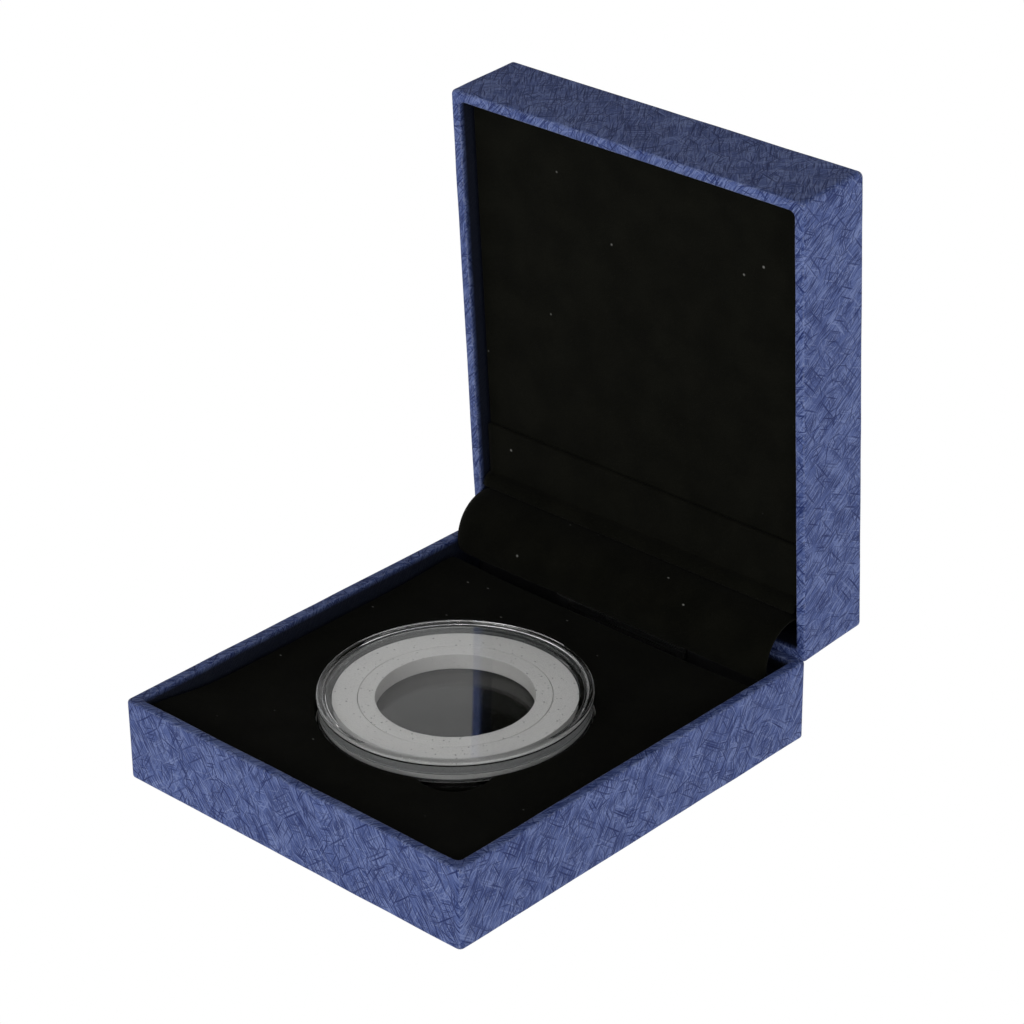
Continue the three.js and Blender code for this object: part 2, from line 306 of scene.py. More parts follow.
def sliced(
    bm: BMesh, axis: Axis, low: float, high: float, step: float, margin: float = 0.0
) -> None:
    """Cuts a mesh across an axis at even steps, so that it can bend.

    Args:
        bm: The mesh.
        axis: The axis that the cuts stand across.
        low: Where the mesh starts on it.
        high: Where it ends.
        step: The distance between cuts.
        margin: The distance from each end to the outermost cut, or 0 for none there.
    """
    first, last = low + margin, high - margin
    count = max(1, round((last - first) / step))
    cuts = even(first, last, count)
    normal = Vector((0, 0, 0))
    normal[axis.value] = 1
    for cut in cuts if margin else cuts[1:-1]:
        place = normal * cut
        parts = [*bm.verts, *bm.edges, *bm.faces]
        bmesh.ops.bisect_plane(bm, geom=parts, plane_co=place, plane_no=normal, dist=1e-7)


def wavered(bm: BMesh, amount: float, wave: float, seed: float) -> None:
    """Moves each vertex a little, so that no face is dead flat.

    Args:
        bm: The mesh.
        amount: The largest move.
        wave: The length over which the moves change.
        seed: Sets one piece's moves apart from another's.
    """
    for v in bm.verts:
        v.co += noise.noise_vector(v.co / wave + Vector((seed, 2 * seed, -seed))) * amount


def ripple(point: Vector, waves: tuple) -> float:
    """Returns the height of soft waves at a point, from each wave's length and height."""
    return sum(noise.noise(point / length) * height for length, height in waves)


def supported(
    outline: Sequence[tuple[float, float]], gap: float
) -> list[tuple[float, float]]:
    """Adds a point near each end of the long runs of an outline, so that they shade flat.

    Args:
        outline: Radius and height of each corner.
        gap: The distance of the new points from the corners.

    Returns:
        The outline with its new points.
    """
    corners = [Vector(p) for p in outline]
    closed = outline[0][0] > 0
    pairs = list(zip(corners, corners[1:] + corners[:1] if closed else corners[1:]))
    full: list[Vector] = []
    for a, b in pairs:
        full.append(a)
        if (b - a).length > 3 * gap:
            way = (b - a).normalized() * gap
            if a.x > 0:
                full.append(a + way)
            if b.x > 0:
                full.append(b - way)
    if not closed:
        full.append(corners[-1])
    return [(p.x, p.y) for p in full]


def turned(
    outline: Sequence[tuple[float, float]], steps: int, gap: float = 0.3 * MM
) -> BMesh:
    """Spins an outline about the Z axis.

    Args:
        outline: Radius and height of each corner, from the axis round or as a closed loop.
        steps: The number of faces round the axis.
        gap: How far from its corners an outline's long runs are held flat.

    Returns:
        The closed shape.
    """
    bm = bmesh.new()
    verts = [bm.verts.new((r, 0, z)) for r, z in supported(outline, gap)]
    edges = [bm.edges.new(pair) for pair in zip(verts, verts[1:])]
    if outline[0][0] > 0:
        edges.append(bm.edges.new((verts[-1], verts[0])))
    bmesh.ops.spin(
        bm,
        geom=[*verts, *edges],
        cent=(0, 0, 0),
        axis=(0, 0, 1),
        angle=FULL_TURN,
        steps=steps,
        use_merge=True,
    )
    outward(bm)
    return bm


def ring_edges(bm: BMesh, least: float) -> list[BMEdge]:
    """Returns the edges of a turned shape whose faces meet at more than least degrees."""
    limit = math.radians(least)
    return [e for e in bm.edges if e.is_manifold and e.calc_face_angle(0) > limit]


def open_edges(
    bm: BMesh, test: Callable[[Vector], bool]
) -> list[BMEdge]:
    """Returns the open edges whose two ends both pass a test."""
    return [e for e in bm.edges if e.is_boundary and all(test(v.co) for v in e.verts)]


def rolled(
    bm: BMesh,
    edges: list[BMEdge],
    away: Callable[[Vector], Vector],
    radius: float,
    drop: float,
    steps: int,
) -> None:
    """Rolls an open edge over in a quarter round, then runs it straight down.

    Args:
        bm: The mesh, whose upper face is level.
        edges: The open edges.
        away: The level direction in which the edge moves at a point.
        radius: The radius of the quarter round.
        drop: How far the edge runs down in all.
        steps: The number of faces across the quarter round.
    """
    start = {v for e in edges for v in e.verts}
    origin = {v: (v.co.copy(), away(v.co)) for v in start}
    stages = [
        (radius * math.sin(a), radius * (1 - math.cos(a)))
        for a in (math.pi / 2 * (i + 1) / steps for i in range(steps))
    ]
    stages += [(radius, radius + (drop - radius) * s) for s in (0.5, 1.0)]
    for out, down in stages:
        made = bmesh.ops.extrude_edge_only(bm, edges=edges)["geom"]
        new_edges = [g for g in made if isinstance(g, BMEdge)]
        fresh = [g for g in made if isinstance(g, BMVert)]
        linked: dict[BMVert, tuple[Vector, Vector]] = {}
        for v in fresh:
            old = next(e.other_vert(v) for e in v.link_edges if e.other_vert(v) in origin)
            place, way = origin[old]
            v.co = place + way * out - Vector((0, 0, down))
            linked[v] = (place, way)
        origin = linked
        edges = [e for e in new_edges if e.verts[0] in linked and e.verts[1] in linked]


def swept(line: Sequence[Vector], start: float, width: float, steps: int) -> BMesh:
    """Draws an outline out along the X axis into a strip.

    Args:
        line: The outline across the axis.
        start: Where the strip starts on the axis.
        width: The strip's extent along it.
        steps: The number of faces along it.

    Returns:
        The strip, as one skin.
    """
    bm = bmesh.new()
    verts = [bm.verts.new(p + Vector((start, 0, 0))) for p in line]
    edges = [bm.edges.new(pair) for pair in zip(verts, verts[1:])]
    for _ in range(steps):
        made = bmesh.ops.extrude_edge_only(bm, edges=edges)["geom"]
        fresh = [g for g in made if isinstance(g, BMVert)]
        edges = [g for g in made if isinstance(g, BMEdge)]
        edges = [e for e in edges if all(v in fresh for v in e.verts)]
        bmesh.ops.translate(bm, vec=(width / steps, 0, 0), verts=fresh)
    outward(bm)
    return bm


def boxed_uv(bm: BMesh) -> None:
    """Lays the pattern of a wrapped sheet on a mesh, face by face along its main direction.

    Args:
        bm: The mesh, in its own upright frame. Its map's unit is a decimetre.
    """
    layer = bm.loops.layers.uv.new("wrap")
    bm.normal_update()
    for face in bm.faces:
        n = face.normal
        main = max(range(3), key=lambda i: abs(n[i]))
        u, v = ((1, 2), (0, 2), (0, 1))[main]
        shift = 0.37 * main + (0.19 if n[main] < 0 else 0.0)
        way = -10 if main == 1 else 10
        for loop in face.loops:
            loop[layer].uv = (loop.vert.co[u] * way + shift, loop.vert.co[v] * 10 - shift)


# ---- Finishes ----


class Graph:
    """A node tree with short calls for what the finishes and the light tent need."""

    def __init__(self, tree: bpy.types.NodeTree) -> None:
        """Takes over a tree and empties it."""
        self.tree = tree
        self.tree.nodes.clear()

    def link(self, source: NodeSocket, target: NodeSocket) -> None:
        """Joins two sockets."""
        self.tree.links.new(source, target)

    def put(self, socket: NodeSocket, value: object) -> None:
        """Sets a socket to a number, a colour or another socket."""
        if isinstance(value, NodeSocket):
            self.link(value, socket)
        else:
            socket.default_value = value

    def add(self, kind: str, inputs: dict, **settings: object) -> Node:
        """Adds a node.

        Args:
            kind: The node's type.
            inputs: Its sockets, by name or number, and what goes into them.
            settings: Its own properties.

        Returns:
            The node.
        """
        node = self.tree.nodes.new(kind)
        for key, value in settings.items():
            setattr(node, key, value)
        for key, value in inputs.items():
            self.put(node.inputs[key], value)
        return node

    def math(self, way: str, a: object, b: object = 0.0, clamp: bool = False) -> NodeSocket:
        """Returns one sum of two values."""
        node = self.add("ShaderNodeMath", {0: a, 1: b}, operation=way, use_clamp=clamp)
        return node.outputs[0]

    def ramp(
        self, value: object, low: float, high: float, start: float = 0.0, end: float = 1.0
    ) -> NodeSocket:
        """Returns a value carried from low..high to start..end, and held beyond them."""
        sockets = {"Value": value, 1: low, 2: high, 3: start, 4: end}
        return self.add("ShaderNodeMapRange", sockets, interpolation_type="SMOOTHSTEP").outputs[0]

    def object_place(self) -> NodeSocket:
        """Returns the point in the row frame."""
        return self.add("ShaderNodeTexCoord", {}).outputs["Object"]

    def wrap_place(self) -> NodeSocket:
        """Returns the point on a wrapped sheet, in decimetres."""
        return self.add("ShaderNodeUVMap", {}, uv_map="wrap").outputs[0]

    def mapped(
        self,
        place: object,
        scale: Sequence[float] = (1, 1, 1),
        turn: Sequence[float] = (0, 0, 0),
        shift: Sequence[float] = (0, 0, 0),
    ) -> NodeSocket:
        """Returns a point scaled, turned and moved."""
        sockets = {"Vector": place, "Scale": scale, "Rotation": turn, "Location": shift}
        return self.add("ShaderNodeMapping", sockets).outputs[0]

    def noise(
        self, place: object, scale: float, detail: float = 2.0, rough: float = 0.5
    ) -> NodeSocket:
        """Returns a soft random value at a point."""
        sockets = {"Vector": place, "Scale": scale, "Detail": detail, "Roughness": rough}
        return self.add("ShaderNodeTexNoise", sockets).outputs[0]

    def cells(self, place: object, scale: float) -> Node:
        """Returns the Voronoi node of cells at a point."""
        return self.add("ShaderNodeTexVoronoi", {"Vector": place, "Scale": scale})

    def times(self, a: object, b: object) -> NodeSocket:
        """Returns the product of two values."""
        return self.math("MULTIPLY", a, b)

    def mix(self, share: object, a: object, b: object) -> NodeSocket:
        """Returns a mix of two colours."""
        sockets = {0: share, 6: a, 7: b}
        return self.add("ShaderNodeMix", sockets, data_type="RGBA").outputs[2]


class PaintGraph(Graph):
    """The node tree of a material, round one Principled shader."""

    def __init__(self, name: str) -> None:
        """Makes the material."""
        self.material = bpy.data.materials.new(name)
        self.material.use_nodes = True
        super().__init__(self.material.node_tree)
        self.output = self.add("ShaderNodeOutputMaterial", {})
        self.shader = self.add("ShaderNodeBsdfPrincipled", {})
        self.surface(self.shader.outputs["BSDF"])

    def surface(self, source: NodeSocket) -> None:
        """Sets what the material shows."""
        self.link(source, self.output.inputs["Surface"])

    def bump(self, height: object, distance: float, strength: float = 1.0) -> None:
        """Drives the shader's normal by a height."""
        sockets = {"Height": height, "Distance": distance, "Strength": strength}
        node = self.add("ShaderNodeBump", sockets)
        self.link(node.outputs[0], self.shader.inputs["Normal"])

    def shine(self, **sockets: object) -> None:
        """Sets the shader's own sockets, given with _ for each space."""
        for key, value in sockets.items():
            self.put(self.shader.inputs[key.replace("_", " ")], value)


def rgb(red: float, green: float, blue: float) -> tuple[float, float, float, float]:
    """Returns an opaque colour."""
    return (red, green, blue, 1.0)


@dataclass(frozen=True)
class Finish:
    """A named finish, which paints the node tree of its own material."""

    name: str

    def material(self) -> Material:
        """Returns the material."""
        g = PaintGraph(self.name)
        self.paint(g)
        return g.material

    def paint(self, g: PaintGraph) -> None:
        """Draws the finish's pattern and sets the shader.

        Args:
            g: The material\'s node tree.
        """
        raise NotImplementedError


@dataclass(frozen=True)
class Creases:
    """One family of straight creases in the paper: their run, spacing and share."""

    turn_deg: float
    along_mm: float
    across_mm: float
    share: float


@dataclass(frozen=True)
class BluePaper(Finish):
    """Blue covering paper with dense straight fibre creases, painted shade in their grooves and a
    painted highlight on their ridges, some rubbing on edges and corners, a painted highlight along
    the mouth's inner lip and painted shade down inside the mouth.
    """

    name: str = "Blue_fibre_paper"
    body: tuple = rgb(0.047, 0.074, 0.215)
    # Darker fibres of the grain, and also the painted shade in the creases' grooves.
    dark_fibre_and_groove_shade: tuple = rgb(0.004, 0.013, 0.085)
    # Paler fibres of the grain, and also the painted highlight on the creases' ridges.
    fibre: tuple = rgb(0.150, 0.192, 0.370)
    # Paper rubbed pale, and also the painted highlight along the mouth's inner lip.
    worn_and_lip_highlight: tuple = rgb(0.270, 0.300, 0.400)
    # Near-black painted shade, for the paper down inside the mouth.
    painted_recess_shade: tuple = rgb(0.0045, 0.0065, 0.015)
    families: tuple = (
        Creases(56, 8.0, 0.42, 0.30),
        Creases(47, 5.0, 0.34, 0.30),
        Creases(64, 6.5, 0.38, 0.30),
        Creases(52, 3.5, 0.28, 0.32),
        Creases(-38, 9.0, 0.46, 0.17),
        Creases(-63, 5.5, 0.36, 0.17),
        Creases(17, 7.0, 0.40, 0.14),
        Creases(86, 5.0, 0.34, 0.17),
        Creases(-14, 4.0, 0.32, 0.14),
    )

    def paint(self, g: PaintGraph) -> None:
        """Paints the material, which reads the wrap map and the tray's two attributes: the rubbing
        with its painted lip highlight, and the depth inside the mouth for painted shade.

        Args:
            g: The material\'s node tree.
        """
        sheet = g.mapped(g.wrap_place(), scale=(100, 100, 1))
        bend = g.add("ShaderNodeTexNoise", {"Vector": sheet, "Scale": 0.12, "Detail": 0.0})
        bent = g.add(
            "ShaderNodeVectorMath",
            {0: bend.outputs["Color"], 1: (0.9, 0.9, 0.0), 2: sheet},
            operation="MULTIPLY_ADD",
        ).outputs[0]
        groove_shade: object = 0.0
        light: object = 0.0
        # Each family draws its creases in colour as well as in the bump: painted shade in the
        # grooves, a painted highlight on the ridges.
        for i, c in enumerate(self.families):
            run = g.mapped(bent, turn=(0, 0, math.radians(-c.turn_deg)), shift=(7 * i, 3 * i, 0))
            cells = g.cells(g.mapped(run, scale=(1 / c.along_mm, 1 / c.across_mm, 1)), 1.0)
            cells.voronoi_dimensions = "2D"
            pick = g.add("ShaderNodeSeparateColor", {0: cells.outputs["Color"]})
            line = g.ramp(cells.outputs["Distance"], 0.47, 0.20)
            depth = g.ramp(pick.outputs[1], 0.0, 1.0, 0.30, 1.0)
            groove = g.math("LESS_THAN", pick.outputs[0], c.share)
            ridge = g.math("GREATER_THAN", pick.outputs[0], 1 - c.share)
            drawn = g.times(line, depth)
            groove_shade = g.math("MAXIMUM", groove_shade, g.times(drawn, groove))
            light = g.math("MAXIMUM", light, g.times(drawn, ridge))
        grain = g.noise(g.mapped(sheet, scale=(1.0, 2.2, 1), turn=(0, 0, -0.9)), 3.2, 3.0, 0.65)
        clouds = g.noise(sheet, 0.10, 1.0)
        tone = g.mix(g.ramp(grain, 0.35, 0.72, 0.0, 0.30), self.body, self.fibre)
        tone = g.mix(g.ramp(grain, 0.50, 0.30, 0.0, 0.35), tone, self.dark_fibre_and_groove_shade)
        # Painted highlight on the ridges, painted shade in the grooves.
        tone = g.mix(g.times(light, 0.85), tone, self.fibre)
        tone = g.mix(g.times(groove_shade, 0.95), tone, self.dark_fibre_and_groove_shade)
        tone = g.mix(g.ramp(clouds, 0.40, 0.65, 0.0, 0.12), tone, self.dark_fibre_and_groove_shade)
        # Rubbing on the outer edges and corners is wear; along the mouth's inner lip the same value
        # paints a highlight.
        rubbed_and_lip_highlight = g.add("ShaderNodeAttribute", {}, attribute_name="rubbed_and_lip_highlight").outputs["Fac"]
        patchy = g.ramp(g.noise(sheet, 0.8, 4.0, 0.75), 0.42, 0.62)
        wear_and_lip_highlight = g.math("MULTIPLY", g.times(rubbed_and_lip_highlight, patchy), 0.55, clamp=True)
        tone = g.mix(wear_and_lip_highlight, tone, self.worn_and_lip_highlight)
        # Painted shade: the paper inside the mouth darkens with depth below the rim.
        inside = g.add("ShaderNodeAttribute", {}, attribute_name="inside").outputs["Fac"]
        tone = g.mix(inside, tone, self.painted_recess_shade)
        height = g.math("SUBTRACT", g.times(light, 0.7), groove_shade)
        height = g.math("ADD", height, g.times(grain, 0.5))
        g.bump(height, 0.06 * MM, 0.8)
        g.shine(Base_Color=tone, Roughness=g.ramp(grain, 0.3, 0.7, 0.56, 0.72))
        g.shine(Specular_IOR_Level=0.22, IOR=1.45)


@dataclass(frozen=True)
class BlackVelvet(Finish):
    """Short-pile black velvet with stray lint."""

    pile: tuple = rgb(0.0017, 0.0018, 0.0010)
    nap: tuple = rgb(0.0035, 0.0036, 0.0022)
    lint: tuple = rgb(0.16, 0.16, 0.15)
    lint_share: float = 0.03
    sheen: float = 0.02

    def paint(self, g: PaintGraph) -> None:
        """Paints by the point in the row frame.

        Args:
            g: The material\'s node tree.
        """
        place = g.object_place()
        pile = g.noise(place, 5200, 2.0, 0.6)
        stroke = g.noise(place, 130, 2.0, 0.5)
        cloth = g.mix(g.ramp(g.math("ADD", pile, stroke), 0.75, 1.30), self.pile, self.nap)
        bent = g.mapped(place, scale=(1, 1.9, 1), turn=(0.4, 0.2, 0.7))
        cells = g.cells(bent, 430)
        picked = g.add("ShaderNodeSeparateColor", {0: cells.outputs["Color"]}).outputs[0]
        chosen = g.math("LESS_THAN", picked, self.lint_share)
        speck = g.ramp(cells.outputs["Distance"], 0.16, 0.05)
        mark = g.times(g.times(chosen, speck), 0.8)
        g.bump(g.math("ADD", pile, g.times(stroke, 0.6)), 0.12 * MM, 0.7)
        g.shine(Base_Color=g.mix(mark, cloth, self.lint))
        g.shine(Roughness=g.ramp(pile, 0.3, 0.7, 0.9, 1.0), Specular_IOR_Level=0.03)
        g.shine(Sheen_Weight=self.sheen, Sheen_Roughness=0.55, Sheen_Tint=rgb(0.7, 0.7, 0.66))


@dataclass(frozen=True)
class Foam(Finish):
    """Closed-cell foam: pale, with fine pores, a faint tint and painted shade on its upright faces.
    """

    body: tuple = rgb(0.82, 0.805, 0.79)
    # Darker tone of the pores, and also the painted shade on upright faces.
    pore_and_wall_shade: tuple = rgb(0.56, 0.545, 0.53)
    pit: tuple = rgb(0.16, 0.155, 0.15)
    pore_mm: float = 0.42
    pit_mm: float = 1.1

    def paint(self, g: PaintGraph) -> None:
        """Paints by the point in the row frame.

        Args:
            g: The material\'s node tree.
        """
        place = g.object_place()
        cells = g.cells(place, 1 / (self.pore_mm * MM)).outputs["Distance"]
        fine = g.noise(place, 2600, 3.0, 0.7)
        cloud = g.noise(place, 60, 2.0)
        speckle = g.ramp(fine, 0.56, 0.72)
        tone = g.mix(g.times(speckle, 0.75), self.body, self.pore_and_wall_shade)
        tone = g.mix(g.ramp(cells, 0.10, 0.02, 0.0, 0.6), tone, self.pore_and_wall_shade)
        tone = g.mix(g.ramp(cloud, 0.35, 0.65, 0.0, 0.10), tone, self.pore_and_wall_shade)
        pits = g.cells(g.mapped(place, scale=(1, 1, 1.6)), 1 / (self.pit_mm * MM))
        pick = g.add("ShaderNodeSeparateColor", {0: pits.outputs["Color"]})
        reach = g.math("MULTIPLY_ADD", pick.outputs[1], 0.08)
        reach.node.inputs[2].default_value = 0.10
        pit = g.math("LESS_THAN", pits.outputs["Distance"], reach)
        open_pit = g.times(pit, g.math("LESS_THAN", pick.outputs[0], 0.8))
        tone = g.mix(g.times(open_pit, 0.75), tone, self.pit)
        # Painted shade: faces that stand upright, such as the wall of the hole, are darkened towards
        # the pore colour by their normal.
        way = g.add("ShaderNodeSeparateXYZ", {0: g.add("ShaderNodeNewGeometry", {}).outputs[1]})
        cut = g.ramp(g.math("ABSOLUTE", way.outputs[2]), 0.85, 0.35, 0.0, 0.72)
        tone = g.mix(cut, tone, self.pore_and_wall_shade)
        g.bump(g.math("SUBTRACT", g.ramp(cells, 0.0, 0.35), speckle), 0.06 * MM, 0.6)
        g.shine(Base_Color=tone, Roughness=g.ramp(fine, 0.3, 0.7, 0.82, 0.95))
        g.shine(Specular_IOR_Level=0.3)


@dataclass(frozen=True)
class ClearPlastic(Finish):
    """Clear moulded acrylic with faint handling marks."""

    name: str = "Clear_acrylic"

    def paint(self, g: PaintGraph) -> None:
        """Paints the material, whose glass lets lamps through to what it covers.

        Args:
            g: The material\'s node tree.
        """
        place = g.object_place()
        turned_place = g.mapped(place, turn=(0, 0, 0.6), scale=(180, 4200, 300))
        marks = g.ramp(g.noise(turned_place, 1.0, 2.0), 0.62, 0.80)
        haze = g.noise(place, 90, 2.0)
        rough = g.math("ADD", g.ramp(haze, 0.4, 0.7, 0.012, 0.030), g.times(marks, 0.05))
        g.bump(marks, 0.002 * MM, 0.25)
        g.shine(Base_Color=rgb(0.985, 0.99, 0.99), Roughness=rough)
        g.shine(Transmission_Weight=1.0, IOR=1.49)
        clear = g.add("ShaderNodeBsdfTransparent", {"Color": rgb(0.95, 0.96, 0.96)}).outputs[0]
        shadow = g.add("ShaderNodeLightPath", {}).outputs["Is Shadow Ray"]
        both = g.add("ShaderNodeMixShader", {0: shadow, 1: g.shader.outputs[0], 2: clear})
        g.surface(both.outputs[0])


@dataclass(frozen=True)
class NestedPlastic(Finish):
    """The clear walls that stand close inside one another, where light barely bends."""

    name: str = "Clear_acrylic_nested"

    def paint(self, g: PaintGraph) -> None:
        """Paints the material, which shows only a trace of each wall.

        Args:
            g: The material\'s node tree.
        """
        place = g.object_place()
        film = g.noise(g.mapped(place, scale=(900, 900, 140)), 1.0, 2.0)
        g.bump(film, 0.004 * MM, 0.3)
        g.shine(Base_Color=g.mix(film, rgb(0.30, 0.31, 0.31), rgb(0.42, 0.43, 0.43)))
        g.shine(Alpha=0.07, Roughness=g.ramp(film, 0.3, 0.7, 0.10, 0.22))


@dataclass(frozen=True)
class SpringSteel(Finish):
    """Cold-rolled strip steel, brushed along the hinge, with a light film of oil."""

    name: str = "Spring_steel"
    body: tuple = rgb(0.46, 0.47, 0.48)
    stain: tuple = rgb(0.25, 0.23, 0.20)

    def paint(self, g: PaintGraph) -> None:
        """Paints by the point in the row frame.

        Args:
            g: The material\'s node tree.
        """
        place = g.object_place()
        lines = g.noise(g.mapped(place, scale=(90, 5200, 5200)), 1.0, 3.0, 0.6)
        spots = g.ramp(g.noise(place, 320, 4.0, 0.7), 0.58, 0.72)
        tone = g.mix(g.times(spots, 0.5), self.body, self.stain)
        tone = g.mix(g.ramp(lines, 0.35, 0.65, 0.0, 0.25), tone, self.stain)
        g.bump(lines, 0.004 * MM, 0.5)
        rough = g.math("ADD", g.ramp(lines, 0.3, 0.7, 0.24, 0.40), g.times(spots, 0.2))
        g.shine(Base_Color=tone, Metallic=1.0, Roughness=rough, Anisotropic=0.4)


@dataclass(frozen=True)
class GreyBoard(Finish):
    """Grey millboard, pressed in layers from recycled fibre."""

    name: str = "Grey_millboard"
    body: tuple = rgb(0.30, 0.285, 0.255)
    fleck: tuple = rgb(0.12, 0.11, 0.10)
    pale: tuple = rgb(0.48, 0.46, 0.42)

    def paint(self, g: PaintGraph) -> None:
        """Paints by the point in the row frame.

        Args:
            g: The material\'s node tree.
        """
        place = g.object_place()
        layers = g.noise(g.mapped(place, scale=(260, 260, 5200)), 1.0, 2.0)
        pulp = g.noise(place, 900, 4.0, 0.7)
        tone = g.mix(g.ramp(layers, 0.40, 0.60, 0.0, 0.5), self.body, self.pale)
        tone = g.mix(g.ramp(pulp, 0.60, 0.74, 0.0, 0.8), tone, self.fleck)
        g.bump(g.math("ADD", layers, pulp), 0.05 * MM, 0.7)
        g.shine(Base_Color=tone, Roughness=g.ramp(pulp, 0.3, 0.7, 0.85, 0.97))
        g.shine(Specular_IOR_Level=0.25)


@dataclass(frozen=True)
class MouldedShell(Finish):
    """Black moulded polystyrene with a fine spark-eroded grain and flow marks."""

    name: str = "Moulded_black_shell"
    body: tuple = rgb(0.012, 0.012, 0.013)
    dust: tuple = rgb(0.045, 0.045, 0.047)

    def paint(self, g: PaintGraph) -> None:
        """Paints by the point in the row frame.

        Args:
            g: The material\'s node tree.
        """
        place = g.object_place()
        grain = g.cells(place, 3600).outputs["Distance"]
        flow = g.noise(g.mapped(place, scale=(60, 60, 260), turn=(0, 0, 0.5)), 1.0, 2.0)
        tone = g.mix(g.ramp(flow, 0.45, 0.70, 0.0, 0.6), self.body, self.dust)
        g.bump(grain, 0.02 * MM, 0.5)
        g.shine(Base_Color=tone, Roughness=g.ramp(flow, 0.3, 0.7, 0.42, 0.60))


@dataclass(frozen=True)
class HingeCloth(Finish):
    """Blue book cloth: a plain weave of fine threads, sized with glue."""

    name: str = "Blue_hinge_cloth"
    thread: tuple = rgb(0.062, 0.095, 0.235)
    gap: tuple = rgb(0.018, 0.030, 0.100)
    threads_per_mm: float = 3.2

    def paint(self, g: PaintGraph) -> None:
        """Paints the material, which reads the wrap map.

        Args:
            g: The material\'s node tree.
        """
        cloth = g.mapped(g.wrap_place(), scale=(100, 100, 1))
        rate = self.threads_per_mm * FULL_TURN
        parts = g.add("ShaderNodeSeparateXYZ", {0: cloth})
        waves = [
            g.math("ABSOLUTE", g.math("SINE", g.times(parts.outputs[i], rate / 2)))
            for i in (0, 1)
        ]
        weave = g.times(waves[0], waves[1])
        slub = g.noise(g.mapped(cloth, scale=(0.5, 7, 1)), 1.0, 2.0)
        tone = g.mix(g.ramp(weave, 0.05, 0.55), self.gap, self.thread)
        tone = g.mix(g.ramp(slub, 0.52, 0.72, 0.0, 0.5), tone, self.gap)
        g.bump(g.math("ADD", weave, g.times(slub, 0.4)), 0.06 * MM, 0.8)
        g.shine(Base_Color=tone, Roughness=g.ramp(slub, 0.3, 0.7, 0.68, 0.85))
        g.shine(Specular_IOR_Level=0.3)


@dataclass(frozen=True)
class FlockedPaper(Finish):
    """Black flocked paper under the base, with glue dimples and picked-up dust."""

    name: str = "Black_flocked_paper"
    flock: tuple = rgb(0.010, 0.010, 0.011)
    dust: tuple = rgb(0.075, 0.073, 0.070)

    def paint(self, g: PaintGraph) -> None:
        """Paints by the point in the row frame.

        Args:
            g: The material\'s node tree.
        """
        place = g.object_place()
        pile = g.noise(place, 3600, 3.0, 0.7)
        dimple = g.cells(place, 170).outputs["Distance"]
        dust = g.ramp(g.noise(place, 1500, 4.0, 0.8), 0.66, 0.78)
        tone = g.mix(g.ramp(pile, 0.4, 0.7, 0.0, 0.25), self.flock, self.dust)
        tone = g.mix(g.times(dust, 0.6), tone, self.dust)
        g.bump(g.math("ADD", pile, g.ramp(dimple, 0.0, 0.25)), 0.07 * MM, 0.7)
        g.shine(Base_Color=tone, Roughness=g.ramp(pile, 0.3, 0.7, 0.88, 1.0))
        g.shine(Specular_IOR_Level=0.15, Sheen_Weight=0.08, Sheen_Roughness=0.5)


# ---- The two trays ----


